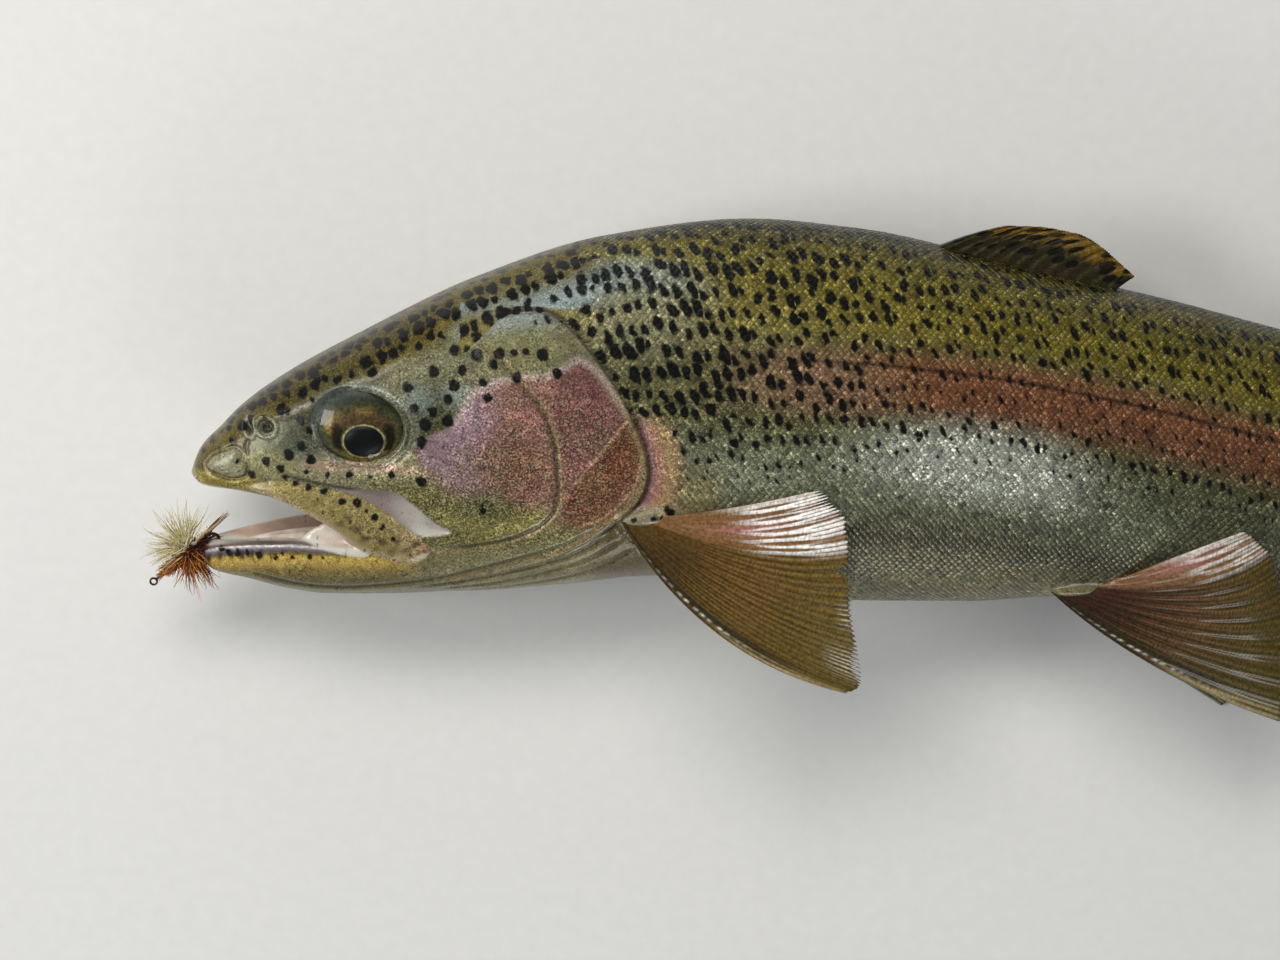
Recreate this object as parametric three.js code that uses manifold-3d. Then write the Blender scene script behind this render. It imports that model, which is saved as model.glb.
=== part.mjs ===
// A life-size rainbow trout lying on its right side, as a still model in separate named pieces.
// Millimetres, +Z up. +X runs from snout to tail and +Y towards the back, so the left flank faces up.
// The whole fish is first built as lofts about its mid-plane (z = 0) and then parted with thin cuts.

import * as THREE from "three";
import { mergeVertices } from "three/addons/utils/BufferGeometryUtils.js";
import Module from "manifold-3d";

const wasm = await Module();
wasm.setup();

// ---------------------------------------------------------------- driving dimensions
const GAP = 0.3; // clearance between neighbouring pieces
const LIE_HEIGHT = 21.2; // mid-plane over the floor where the flank lies on it
const TAIL_BASE_X = 356; // where the flesh of the tail stalk ends
const HEAD_CUT_X = 84; // head and trunk part here, under the gill covers
const STALK_CUT_X = 258; // trunk and tail stalk part here
const COVER_DEPTH = 2.6; // thickness of a gill cover
const MAXILLA_PROUD = 1.0; // how far the upper-jaw blade stands out of the cheek
const MAXILLA_SUNK = 0.9; // how deep the blade is let into the cheek
const BODY_RINGS = 36;
const BODY_SIDES = 28;

// Profiles along the fish: [x, value] pairs, joined by a monotone cubic.
const BACK = [[0, -6.9], [2, -2], [6.6, 2.9], [11, 7.4], [20, 14], [38, 24], [64, 36.6], [90, 45.2],
  [122, 49.2], [146, 47], [181, 38.8], [216, 30.3], [238, 24.1], [262, 17.3], [285, 10.2], [310, 2],
  [330, -5.5], [345, -11.5], [356, -15.5]];
const BELLY = [[0, -7.9], [2.2, -9.4], [11, -10.4], [20, -12.2], [31, -16], [37, -21], [42, -28],
  [48, -33], [60, -33.4], [81, -32], [101, -30], [125, -33.2], [150, -35.9], [172, -36], [190, -35],
  [215, -36.4], [238, -38.4], [262, -40], [285, -41.4], [310, -43], [330, -45.2], [345, -48.2], [356, -51.5]];
const HALF_WIDTH = [[0, 0.6], [1.5, 3.8], [5, 6.8], [11, 9.2], [20, 11.9], [30, 13.8], [40, 15.4],
  [55, 17.8], [70, 19.6], [85, 21], [100, 21.5], [125, 22.1], [150, 22.3], [175, 21.7], [200, 20],
  [225, 17.8], [250, 15.1], [275, 12.4], [300, 9.8], [325, 7.4], [345, 5.4], [356, 4.4]];
const WIDEST_AT = [[0, -7.4], [6, -5], [20, -2], [40, 1], [60, 1], [85, 2], [110, 5], [150, 4.5],
  [190, 1], [238, -8], [285, -16], [330, -25.5], [356, -33.5]];
const UPPER_SQUARENESS = [[0, 2.2], [20, 2.45], [50, 2.55], [80, 2.3], [120, 2.05], [356, 2.05]];
const LOWER_SQUARENESS = [[0, 2.4], [3, 3.2], [31, 3.4], [50, 3], [80, 2.5], [150, 2.3], [356, 2.05]];

// Lower jaw, a trough that runs back into the throat.
const JAW_RIM = [[3, -24.6], [6, -23], [13, -21.4], [24, -20], [36, -19.5], [60, -18.5]];
const JAW_KEEL = [[3, -26.6], [5, -29.3], [8, -30.5], [12, -31.4], [21, -33.6], [30, -34.6], [45, -34.4], [60, -33.5]];
const JAW_HALF_WIDTH = [[3, 0.6], [5, 3.4], [8, 5], [13, 7.2], [24, 11], [36, 13.6], [48, 15], [60, 15.5]];
const JAW_RIM_DROP = 2.5; // from the rim down to the jaw's widest line
const JAW_LENGTH = [3, 60];

// Mouth cavity, from just behind the lips to the gullet.
const ROOF = [[5, -12], [12, -8], [24, -7], [36, -9.5], [50, -13.5], [62, -18]];
const FLOOR_OF_MOUTH = [[5, -23.6], [12, -26], [24, -27.4], [36, -27.4], [50, -25], [62, -20]];
const MOUTH_HALF_WIDTH = [[5, 1], [8, 3], [13, 4.9], [24, 8.6], [36, 11], [50, 9], [62, 1]];
const MOUTH_LENGTH = [5, 62];

const TONGUE_LENGTH = [9.5, 46];
const TONGUE_TOP = [[9.5, -23], [17, -21.4], [24, -20.5], [30, -20.1], [38, -20.4], [46, -22]];
const TONGUE_HALF_WIDTH = [[9.5, 0.8], [14, 3.2], [24, 4.8], [40, 5.6], [46, 4.6]];
const TONGUE_DEPTH = 8; // down into the floor of the mouth

const EYE = { x: 38.9, y: 6.6, z: 11, rx: 12, ry: 10, rz: 6 };

// Sideways sag of the tail, as the fish lies: how far the mid-plane drops behind the belly.
const SAG = [[190, 0], [230, -2.2], [275, -6.5], [325, -10.8], [356, -13.2], [380, -17.4], [395, -20.3], [408, -20.9]];

// Outlines seen from the side.
const COVER_OUTLINE = [[70, 22], [72, 29], [77, 31.6], [82, 30.2], [86, 27], [90.2, 22], [94.4, 15.8],
  [97.8, 8.8], [99.8, 3.2], [100.2, -2.4], [98.9, -7.4], [96, -10.6], [92, -13.6], [87.6, -16.2],
  [81, -18.6], [72.5, -20.6], [69, -15], [74.8, -12], [78.4, -6], [78.6, 2], [77, 9], [73.4, 15.6]];
const MAXILLA_OUTLINE = [[15, -4.6], [21.5, -4], [29.5, -6.5], [38, -8.9], [44.5, -11.7], [48.8, -14.8],
  [52.4, -18.6], [53, -20.8], [51.2, -22.8], [46.5, -23], [42, -21.6], [37.8, -19], [31, -16.4],
  [24, -14], [17, -12], [14, -8.5]];
const JAW_CUT = [[64, -45], [60, -31], [54, -26.4], [44, -24.6], [34, -18.2], [-20, -18.2]];

// Fins: three lines across the rays, at their base, half-way and at the margin, each [x, y, z]
// from the leading ray to the last one, and the plate's thickness at those lines.
const FIN_THICKNESS = [2.4, 1.0, 0.7];
const FIN_RAYS = 9; // strips across a fin plate
const FIN_STEPS = 4; // steps along a ray

const TAIL_PITCH = THREE.MathUtils.degToRad(-18);
const TAIL_ROOT = [355.5, -33.5];
const tailPoint = ([along, up]) => [
  TAIL_ROOT[0] + along * Math.cos(TAIL_PITCH) - up * Math.sin(TAIL_PITCH),
  TAIL_ROOT[1] + along * Math.sin(TAIL_PITCH) + up * Math.cos(TAIL_PITCH),
  0,
];

const FINS = {
  pectoral_fin_left: {
    base: [[94.6, -12.8, 19.6], [99, -13.4, 19.8], [104, -11.4, 20.4]],
    middle: [[115.5, -37, 22.8], [121, -30, 24], [123.5, -19, 24], [120.5, -8.6, 22.4]],
    margin: [[144.4, -50.6, 25], [146.4, -48.2, 25.6], [145.4, -40, 26.4], [143.6, -29, 26.6], [143.6, -19, 25.6],
      [141.6, -9.6, 24.2], [136.6, -4.8, 23.2]],
  },
  pectoral_fin_right: {
    base: [[94.6, -12.8, -19.2], [99, -13.4, -19.2], [104, -12.4, -19.4]],
    middle: [[114, -39, -20.6], [121, -33, -20.7], [125, -25, -20.7], [124, -18, -20.7]],
    margin: [[140, -56, -20.8], [143.4, -54, -20.8], [146, -45, -20.8], [147.6, -35, -20.8], [146, -26, -20.8], [141, -21, -20.8]],
  },
  pelvic_fin_left: {
    base: [[188, -31.2, 9.4], [194, -31.4, 10], [201, -29.6, 11.4]],
    middle: [[211, -47.4, 13.6], [219, -40, 16.6], [221, -30, 18.8], [216, -20.6, 20]],
    margin: [[240.2, -61.6, 13], [241.2, -51, 16], [239.6, -38, 18.6], [237, -27, 20], [234, -19.6, 20.6], [229, -15.6, 20.4]],
  },
  pelvic_fin_right: {
    base: [[188, -31.2, -9.4], [194, -31.8, -9.6], [200, -31.4, -9.8]],
    middle: [[208, -51, -15], [217, -47, -17.6], [222, -40, -18.4]],
    margin: [[232, -69, -19.6], [240, -63, -19.6], [244, -53, -19.4], [243, -44, -19]],
  },
  dorsal_fin: {
    base: [[161.5, 42.6, 0], [181, 37.8, 0], [201, 33, 0]],
    middle: [[170, 46, 0], [187, 43, 0], [203.6, 35, 0]],
    margin: [[177.5, 48, 0], [187, 47.4, 0], [195, 45.4, 0], [200.4, 41.6, 0], [206, 36.4, 0]],
  },
  adipose_fin: {
    base: [[297, 5, 0], [307, 1.6, 0]],
    middle: [[303, 10.8, 0], [311, 3.6, 0]],
    margin: [[311, 14, 0], [316.5, 12.4, 0], [316.5, 6.4, 0]],
  },
  anal_fin: {
    base: [[262, -38.8, 0], [280, -40, 0], [298, -41.2, 0]],
    middle: [[274, -56, 0], [287, -52, 0], [303, -47, 0]],
    margin: [[288, -70.6, 0], [294, -70, 0], [300, -63, 0], [306, -56, 0], [310, -52.6, 0]],
  },
  caudal_fin: {
    base: [[-1, -17.6], [0, 0], [-1, 17.6]].map(tailPoint),
    middle: [[24, -29], [19, 0], [24, 29]].map(tailPoint),
    margin: [[50, -46], [53, -42], [43, -22], [38, 0], [43, 22], [53, 42], [50, 46]].map(tailPoint),
  },
};

// The artificial fly hooked in the tip of the lower jaw.
const HOOK_WIRE = 0.9; // wire diameter
const HOOK_PATH = [[-8.4, -31.6, 1.5], [-3.5, -27.2, 1.8], [1.4, -22.6, 2], [4.4, -19.4, 1.6], [7.2, -18.9, 0.8],
  [8.4, -21, 0.4]];
const FLY_BODY = { from: [-6.4, -29.8, 1.6], to: [1.6, -22.4, 2], radii: [0.8, 1.9, 2.2, 1.5, 0.8] };
const FLY_WING = { tip: [-5.6, -13.4, 2], root: [-1.6, -25.6, 1.8], radius: 5.2 };
const FLY_TAIL = { tip: [4.6, -34.8, 1.4], root: [-0.6, -25.8, 1.7], radius: 2.2 };

// ---------------------------------------------------------------- curves
// Monotone cubic through [x, value] pairs, held flat past both ends.
function profile(pairs) {
  const n = pairs.length;
  const step = pairs.slice(1).map((p, i) => p[0] - pairs[i][0]);
  const rise = pairs.slice(1).map((p, i) => (p[1] - pairs[i][1]) / step[i]);
  const slope = pairs.map((_, i) => {
    if (i === 0) return rise[0];
    if (i === n - 1) return rise[n - 2];
    if (rise[i - 1] * rise[i] <= 0) return 0;
    const a = 2 * step[i] + step[i - 1];
    const b = step[i] + 2 * step[i - 1];
    return (a + b) / (a / rise[i - 1] + b / rise[i]);
  });
  return (x) => {
    if (x <= pairs[0][0]) return pairs[0][1];
    if (x >= pairs[n - 1][0]) return pairs[n - 1][1];
    let i = 0;
    while (x > pairs[i + 1][0]) i++;
    const t = (x - pairs[i][0]) / step[i];
    const s = 1 - t;
    return pairs[i][1] * (1 + 2 * t) * s * s + slope[i] * step[i] * t * s * s
      + pairs[i + 1][1] * t * t * (3 - 2 * t) - slope[i + 1] * step[i] * t * t * s;
  };
}

const back = profile(BACK);
const belly = profile(BELLY);
const halfWidth = profile(HALF_WIDTH);
const widestAt = profile(WIDEST_AT);
const upperSquareness = profile(UPPER_SQUARENESS);
const lowerSquareness = profile(LOWER_SQUARENESS);
const sag = profile(SAG);

// One cross-section: a superellipse above and another below its widest line.
function sectionPoint({ top, bottom, width, middle, upper, lower }, angle) {
  const c = Math.cos(angle);
  const s = Math.sin(angle);
  const power = 2 / (c >= 0 ? upper : lower);
  const height = c >= 0 ? top - middle : middle - bottom;
  return [middle + height * Math.sign(c) * Math.abs(c) ** power, width * Math.sign(s) * Math.abs(s) ** power];
}

const bodySection = (grow) => (x) => ({
  top: back(x) + grow,
  bottom: belly(x) - grow,
  width: Math.max(halfWidth(x) + grow, 0.2),
  middle: widestAt(x),
  upper: upperSquareness(x),
  lower: lowerSquareness(x),
});

// ---------------------------------------------------------------- solids
// Builds a solid from points and triangles, turned outside out if they wind the other way.
function solidFrom(positions, indices) {
  const geometry = new THREE.BufferGeometry();
  geometry.setAttribute("position", new THREE.Float32BufferAttribute(positions, 3));
  geometry.setIndex(indices);
  const solid = solidOf(geometry);
  if (solid.volume() > 0) return solid;
  geometry.setIndex(indices.slice().reverse());
  return solidOf(geometry);
}

function solidOf(geometry) {
  const bare = geometry.clone();
  bare.deleteAttribute("normal");
  bare.deleteAttribute("uv");
  const merged = mergeVertices(bare, 1e-4);
  return new wasm.Manifold(new wasm.Mesh({
    numProp: 3,
    vertProperties: new Float32Array(merged.attributes.position.array),
    triVerts: new Uint32Array(merged.index.array),
  }));
}

// Rings of cross-sections at the given stations, closed by a point at each end.
function loft(stations, section, sides) {
  const positions = [];
  const indices = [];
  stations.forEach((x) => {
    const shape = section(x);
    for (let k = 0; k < sides; k++) {
      const [y, z] = sectionPoint(shape, (2 * Math.PI * k) / sides);
      positions.push(x, y, z);
    }
  });
  const rings = stations.length;
  const ends = [0, rings - 1].map((r) => {
    const shape = section(stations[r]);
    positions.push(stations[r], shape.middle, 0);
    return positions.length / 3 - 1;
  });
  for (let k = 0; k < sides; k++) {
    const next = (k + 1) % sides;
    for (let r = 0; r < rings - 1; r++) {
      const a = r * sides + k;
      const b = r * sides + next;
      indices.push(a, a + sides, b, b, a + sides, b + sides);
    }
    indices.push(ends[0], k, next);
    indices.push(ends[1], (rings - 1) * sides + next, (rings - 1) * sides + k);
  }
  return solidFrom(positions, indices);
}

// Stations that crowd towards the start, where the shape turns fastest.
function stations([from, to], count, crowding = 1) {
  return Array.from({ length: count }, (_, i) => from + (to - from) * (i / (count - 1)) ** crowding);
}

const bodyStations = stations([0, TAIL_BASE_X], BODY_RINGS, 1.3);
const bodyLoft = (grow) => loft(bodyStations, bodySection(grow), BODY_SIDES);

// A prism through the whole fish with the given outline, seen from the side.
function prism(outline, zFrom = -60, zTo = 60) {
  const shape = new THREE.Shape(outline.map(([x, y]) => new THREE.Vector2(x, y)));
  const geometry = new THREE.ExtrudeGeometry(shape, { depth: zTo - zFrom, bevelEnabled: false });
  geometry.translate(0, 0, zFrom);
  return solidOf(geometry);
}

// The outline moved outwards by a distance, corner by corner. Outlines run clockwise or not.
function grown(outline, distance) {
  const area = outline.reduce((sum, [x, y], i) => {
    const [nx, ny] = outline[(i + 1) % outline.length];
    return sum + x * ny - nx * y;
  }, 0);
  const turn = Math.sign(area);
  return outline.map(([x, y], i) => {
    const before = outline[(i + outline.length - 1) % outline.length];
    const after = outline[(i + 1) % outline.length];
    const run = new THREE.Vector2(after[0] - before[0], after[1] - before[1]).normalize();
    return [x + turn * run.y * distance, y - turn * run.x * distance];
  });
}

function ellipsoid({ x, y, z, rx, ry, rz }, grow = 0) {
  const geometry = new THREE.SphereGeometry(1, 18, 8);
  geometry.rotateX(Math.PI / 2);
  geometry.scale(rx + grow, ry + grow, rz + grow);
  geometry.translate(x, y, z);
  return solidOf(geometry);
}

function box(min, max) {
  const geometry = new THREE.BoxGeometry(max[0] - min[0], max[1] - min[1], max[2] - min[2]);
  geometry.translate((min[0] + max[0]) / 2, (min[1] + max[1]) / 2, (min[2] + max[2]) / 2);
  return solidOf(geometry);
}

// A round bar that follows points and swells by the given radii, closed by a point at each end.
function bar(points, radii, sides = 7) {
  const curve = new THREE.CatmullRomCurve3(points.map((p) => new THREE.Vector3(...p)));
  const count = Math.max(points.length * 2, radii.length + 2);
  const frames = curve.computeFrenetFrames(count - 1);
  const radiusAt = profile(radii.map((r, i) => [i / (radii.length - 1), r]));
  const positions = [];
  const indices = [];
  for (let i = 0; i < count; i++) {
    const along = i / (count - 1);
    const centre = curve.getPointAt(along);
    for (let k = 0; k < sides; k++) {
      const turn = (2 * Math.PI * k) / sides;
      const p = centre.clone()
        .addScaledVector(frames.normals[i], radiusAt(along) * Math.cos(turn))
        .addScaledVector(frames.binormals[i], radiusAt(along) * Math.sin(turn));
      positions.push(p.x, p.y, p.z);
    }
  }
  const ends = [0, 1].map((along) => {
    const p = curve.getPointAt(along);
    positions.push(p.x, p.y, p.z);
    return positions.length / 3 - 1;
  });
  for (let k = 0; k < sides; k++) {
    const next = (k + 1) % sides;
    for (let i = 0; i < count - 1; i++) {
      const a = i * sides + k;
      const b = i * sides + next;
      indices.push(a, b, a + sides, b, b + sides, a + sides);
    }
    indices.push(ends[0], next, k);
    indices.push(ends[1], (count - 1) * sides + k, (count - 1) * sides + next);
  }
  return solidFrom(positions, indices);
}

// ---------------------------------------------------------------- the flesh
const jawSection = (x) => ({
  top: profile(JAW_RIM)(x),
  bottom: profile(JAW_KEEL)(x),
  width: profile(JAW_HALF_WIDTH)(x),
  middle: Math.max(profile(JAW_RIM)(x) - JAW_RIM_DROP, (profile(JAW_RIM)(x) + profile(JAW_KEEL)(x)) / 2),
  upper: 3.2,
  lower: 2.1,
});
const mouthSection = (x) => ({
  top: profile(ROOF)(x),
  bottom: profile(FLOOR_OF_MOUTH)(x),
  width: profile(MOUTH_HALF_WIDTH)(x),
  middle: (profile(ROOF)(x) + profile(FLOOR_OF_MOUTH)(x)) / 2,
  upper: 2.4,
  lower: 2.6,
});
const tongueSection = (x) => ({
  top: profile(TONGUE_TOP)(x),
  bottom: profile(TONGUE_TOP)(x) - TONGUE_DEPTH,
  width: profile(TONGUE_HALF_WIDTH)(x),
  middle: profile(TONGUE_TOP)(x) - TONGUE_DEPTH / 3,
  upper: 2.2,
  lower: 2.2,
});

const jaw = loft(stations(JAW_LENGTH, 11, 1.5), jawSection, 20);
const mouth = loft(stations(MOUTH_LENGTH, 9, 1.1), mouthSection, 14);
const flesh = bodyLoft(0).add(jaw).subtract(mouth);
const innerCore = bodyLoft(-COVER_DEPTH);
const innerCoreWithGap = bodyLoft(-COVER_DEPTH - GAP);
const outsideFlesh = bodyLoft(GAP);

const leftHalf = box([-100, -100, GAP], [500, 100, 100]);
const rightHalf = box([-100, -100, -100], [500, 100, -GAP]);

// Gill covers: plates let into the sides of the head.
const coverPlate = flesh.subtract(innerCore).intersect(prism(COVER_OUTLINE));
const coverRecess = prism(grown(COVER_OUTLINE, GAP)).subtract(innerCoreWithGap);

// Upper-jaw blades: plates over the lip and the corner of the mouth, a little proud of the cheek.
const bladePlate = bodyLoft(MAXILLA_PROUD)
  .subtract(bodyLoft(-MAXILLA_SUNK))
  .subtract(mouth)
  .intersect(prism(MAXILLA_OUTLINE));
const bladeRecess = prism(grown(MAXILLA_OUTLINE, GAP)).subtract(bodyLoft(-MAXILLA_SUNK - GAP));
const blades = { left: bladePlate.intersect(leftHalf), right: bladePlate.intersect(rightHalf) };

const eyes = { left: EYE, right: { ...EYE, z: -EYE.z } };
const sockets = ellipsoid(eyes.left, GAP).add(ellipsoid(eyes.right, GAP));

const jawRegion = prism(JAW_CUT.concat([[-20, -45]]));
const jawRegionWithGap = prism(grown(JAW_CUT.concat([[-20, -45]]), GAP));
const lengthwise = (from, to) => box([from, -100, -100], [to, 100, 100]);

const forehead = flesh
  .intersect(lengthwise(-10, HEAD_CUT_X - GAP / 2))
  .subtract(jawRegionWithGap)
  .subtract(coverRecess)
  .subtract(bladeRecess)
  .subtract(sockets);
const lowerJaw = flesh.intersect(jawRegion).subtract(bladeRecess).subtract(coverRecess);
const trunk = flesh
  .intersect(lengthwise(HEAD_CUT_X + GAP / 2, STALK_CUT_X - GAP / 2))
  .subtract(coverRecess);
const tailStalk = flesh.intersect(lengthwise(STALK_CUT_X + GAP / 2, 500));
const tongue = loft(stations(TONGUE_LENGTH, 7), tongueSection, 12)
  .intersect(loft(stations(MOUTH_LENGTH, 9, 1.1), (x) => {
    const shape = mouthSection(x);
    return { ...shape, bottom: shape.bottom + GAP, width: Math.max(shape.width - GAP, 0.2) };
  }, 14));

// ---------------------------------------------------------------- the fins
function lineThrough(points) {
  const curve = new THREE.CatmullRomCurve3(points.map((p) => new THREE.Vector3(...p)), false, "centripetal");
  return (u) => curve.getPoint(u);
}

// A plate whose rays are arcs from the base line through the middle line to the margin.
function finPlate({ base, middle, margin }) {
  const [root, half, edge] = [base, middle, margin].map(lineThrough);
  const thickness = profile(FIN_THICKNESS.map((t, i) => [i / 2, t]));
  const row = FIN_STEPS + 1;
  const sheet = (FIN_RAYS + 1) * row;
  const positions = [];
  for (const side of [1, -1]) {
    for (let r = 0; r <= FIN_RAYS; r++) {
      const u = r / FIN_RAYS;
      const [from, through, to] = [root(u), half(u), edge(u)];
      for (let i = 0; i <= FIN_STEPS; i++) {
        const v = i / FIN_STEPS;
        const p = from.clone().multiplyScalar((1 - v) * (1 - 2 * v))
          .addScaledVector(through, 4 * v * (1 - v))
          .addScaledVector(to, v * (2 * v - 1));
        positions.push(p.x, p.y, p.z + (side * thickness(v)) / 2);
      }
    }
  }
  const indices = [];
  const quad = (a, b, c, d) => indices.push(a, b, c, a, c, d);
  for (let r = 0; r < FIN_RAYS; r++) {
    for (let i = 0; i < FIN_STEPS; i++) {
      const a = r * row + i;
      quad(a, a + 1, a + row + 1, a + row);
      quad(sheet + a, sheet + a + row, sheet + a + row + 1, sheet + a + 1);
    }
    const [start, end] = [r * row, r * row + FIN_STEPS];
    quad(start, start + row, sheet + start + row, sheet + start);
    quad(end, sheet + end, sheet + end + row, end + row);
  }
  for (let i = 0; i < FIN_STEPS; i++) {
    const last = FIN_RAYS * row + i;
    quad(i, sheet + i, sheet + i + 1, i + 1);
    quad(last, last + 1, sheet + last + 1, sheet + last);
  }
  return solidFrom(positions, indices);
}

// ---------------------------------------------------------------- the fly
const hookWhole = bar(HOOK_PATH, [HOOK_WIRE / 2, HOOK_WIRE / 2]);
const dressing = bar([FLY_BODY.from, FLY_BODY.to], FLY_BODY.radii)
  .add(bar([FLY_WING.root, FLY_WING.tip], [1, FLY_WING.radius * 0.7, FLY_WING.radius, FLY_WING.radius * 0.8, 0.6]))
  .add(bar([FLY_TAIL.root, FLY_TAIL.tip], [1, FLY_TAIL.radius, FLY_TAIL.radius, 0.5]));
const jawWithGap = loft(stations(JAW_LENGTH, 11, 1.5), (x) => {
  const shape = jawSection(x);
  return { ...shape, top: shape.top + GAP, bottom: shape.bottom - GAP, width: shape.width + GAP };
}, 20);
const hookWithGap = bar(HOOK_PATH, [HOOK_WIRE / 2 + GAP, HOOK_WIRE / 2 + GAP]);

// ---------------------------------------------------------------- colours
const OLIVE = { color: "#6f6a2c", roughness: 0.35 };
const FLANK = { color: "#8a8760", roughness: 0.3 };
const ROSE = { color: "#a4736a", roughness: 0.3 };
const GOLD = { color: "#b3a05c", roughness: 0.35 };
const FIN = { color: "#8a6c34", roughness: 0.4 };
const PINK_FLESH = { color: "#d8c8bc", roughness: 0.5 };
const EYE_DARK = { color: "#17140d", roughness: 0.05 };
const STEEL = { color: "#8f8675", roughness: 0.3, metalness: 0.9 };
const FEATHER = { color: "#b8793a", roughness: 0.8 };

// ---------------------------------------------------------------- the assembly
const trout = new THREE.Group();

// Sags the tail, presses the underside flat on the floor and adds the piece to the fish.
function place(name, solid, finish) {
  const { vertProperties, triVerts, numProp } = solid.getMesh();
  const positions = new Float32Array((vertProperties.length / numProp) * 3);
  for (let i = 0; i < positions.length / 3; i++) {
    const [x, y, z] = vertProperties.subarray(i * numProp, i * numProp + 3);
    positions.set([x, y, Math.max(z + sag(x), -LIE_HEIGHT)], i * 3);
  }
  const geometry = new THREE.BufferGeometry();
  geometry.setAttribute("position", new THREE.BufferAttribute(positions, 3));
  geometry.setIndex(new THREE.BufferAttribute(triVerts, 1));
  const mesh = new THREE.Mesh(geometry, new THREE.MeshStandardMaterial({ metalness: 0, ...finish }));
  mesh.name = name;
  trout.add(mesh);
}

// The largest piece of a cut solid, without slivers that a cut may leave.
const largest = (solid) => solid.decompose().reduce((a, b) => (a.volume() > b.volume() ? a : b));

place("head", largest(forehead), OLIVE);
place("lower_jaw", largest(lowerJaw.subtract(hookWithGap)), GOLD);
place("tongue", largest(tongue), PINK_FLESH);
place("trunk", largest(trunk), FLANK);
place("tail_stalk", largest(tailStalk), FLANK);
for (const [side, half] of [["left", leftHalf], ["right", rightHalf]]) {
  place(`gill_cover_${side}`, largest(coverPlate.intersect(half)), ROSE);
  place(`upper_jaw_blade_${side}`, largest(blades[side]), GOLD);
  place(`eye_${side}`, ellipsoid(eyes[side]), EYE_DARK);
}
for (const [name, lines] of Object.entries(FINS)) {
  place(name, largest(finPlate(lines).subtract(outsideFlesh)), FIN);
}
place("fly_hook", largest(hookWhole.subtract(dressing)), STEEL);
place("fly_dressing", largest(dressing.subtract(hookWithGap).subtract(jawWithGap)), FEATHER);

// The origin is under the middle of the fish, on the floor.
const bounds = new THREE.Box3().setFromObject(trout);
const centre = bounds.getCenter(new THREE.Vector3());
trout.position.set(-centre.x, -centre.y, -bounds.min.z);

export default trout;
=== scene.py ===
from math import cos, pi, radians, sin, tau

import bmesh
import bpy
import numpy as np
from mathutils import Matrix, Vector


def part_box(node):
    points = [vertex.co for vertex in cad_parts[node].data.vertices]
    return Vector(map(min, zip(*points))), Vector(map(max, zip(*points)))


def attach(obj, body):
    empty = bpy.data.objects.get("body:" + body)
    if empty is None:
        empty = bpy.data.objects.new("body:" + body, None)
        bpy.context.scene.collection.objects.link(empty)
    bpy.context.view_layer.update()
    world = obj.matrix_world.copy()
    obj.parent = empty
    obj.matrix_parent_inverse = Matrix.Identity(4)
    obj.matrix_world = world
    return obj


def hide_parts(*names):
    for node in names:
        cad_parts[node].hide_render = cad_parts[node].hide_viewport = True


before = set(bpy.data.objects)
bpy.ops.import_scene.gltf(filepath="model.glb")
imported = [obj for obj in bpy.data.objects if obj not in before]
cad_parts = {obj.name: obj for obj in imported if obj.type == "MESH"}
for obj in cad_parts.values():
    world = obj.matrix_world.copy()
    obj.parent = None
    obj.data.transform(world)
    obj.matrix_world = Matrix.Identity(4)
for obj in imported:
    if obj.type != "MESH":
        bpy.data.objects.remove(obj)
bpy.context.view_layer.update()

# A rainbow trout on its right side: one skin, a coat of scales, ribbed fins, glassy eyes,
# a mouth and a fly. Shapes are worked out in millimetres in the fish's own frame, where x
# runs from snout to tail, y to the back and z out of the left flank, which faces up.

# ---------------------------------------------------------------- sizes
EYE_CENTRE = np.array([38.9, 6.6, 11.0])
EYE_RADII = np.array([12.0, 10.0, 6.0])
EYE_RIM = (9.2, 7.7)  # half-axes of the ring where the skin meets the cornea
EYE_BOX = np.array(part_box("eye_left")[:2]) * 1000
ORIGIN = EYE_BOX.mean(axis=0) - EYE_CENTRE  # the fish's frame in the row frame
LIE_HEIGHT = ORIGIN[2]  # mid-plane over the floor
SKIN_GAP, FIN_GAP = 0.05, 0.07  # the least height of the skin and of the fins over the floor

SKIN_END = 362.0  # the scaled flesh runs a little over the tail fin's root
VOXEL = 0.66  # of the mesh that the skin grows from
SCALE_LONG = 1.5  # spacing of the scales along the fish
SCALE_TALL = 0.92  # spacing of their rows
SCALE_LIFT = 0.085  # how far a scale's free edge stands up
SCALES_START = 84.0
SCALES_SPLITS = (0, 48, 100, 999)  # each flank's coat is three pieces, cut at these columns
FINE_HEAD = 104.0  # the skin has twice as fine a mesh in front of this
HEAD_REACH = 122.0  # nothing of the head's markings or folds lies behind this
RIGHT_SIDE = 170.0  # moves the right flank's spots to a place of their own in the field
RNG = np.random.default_rng(7)

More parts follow.
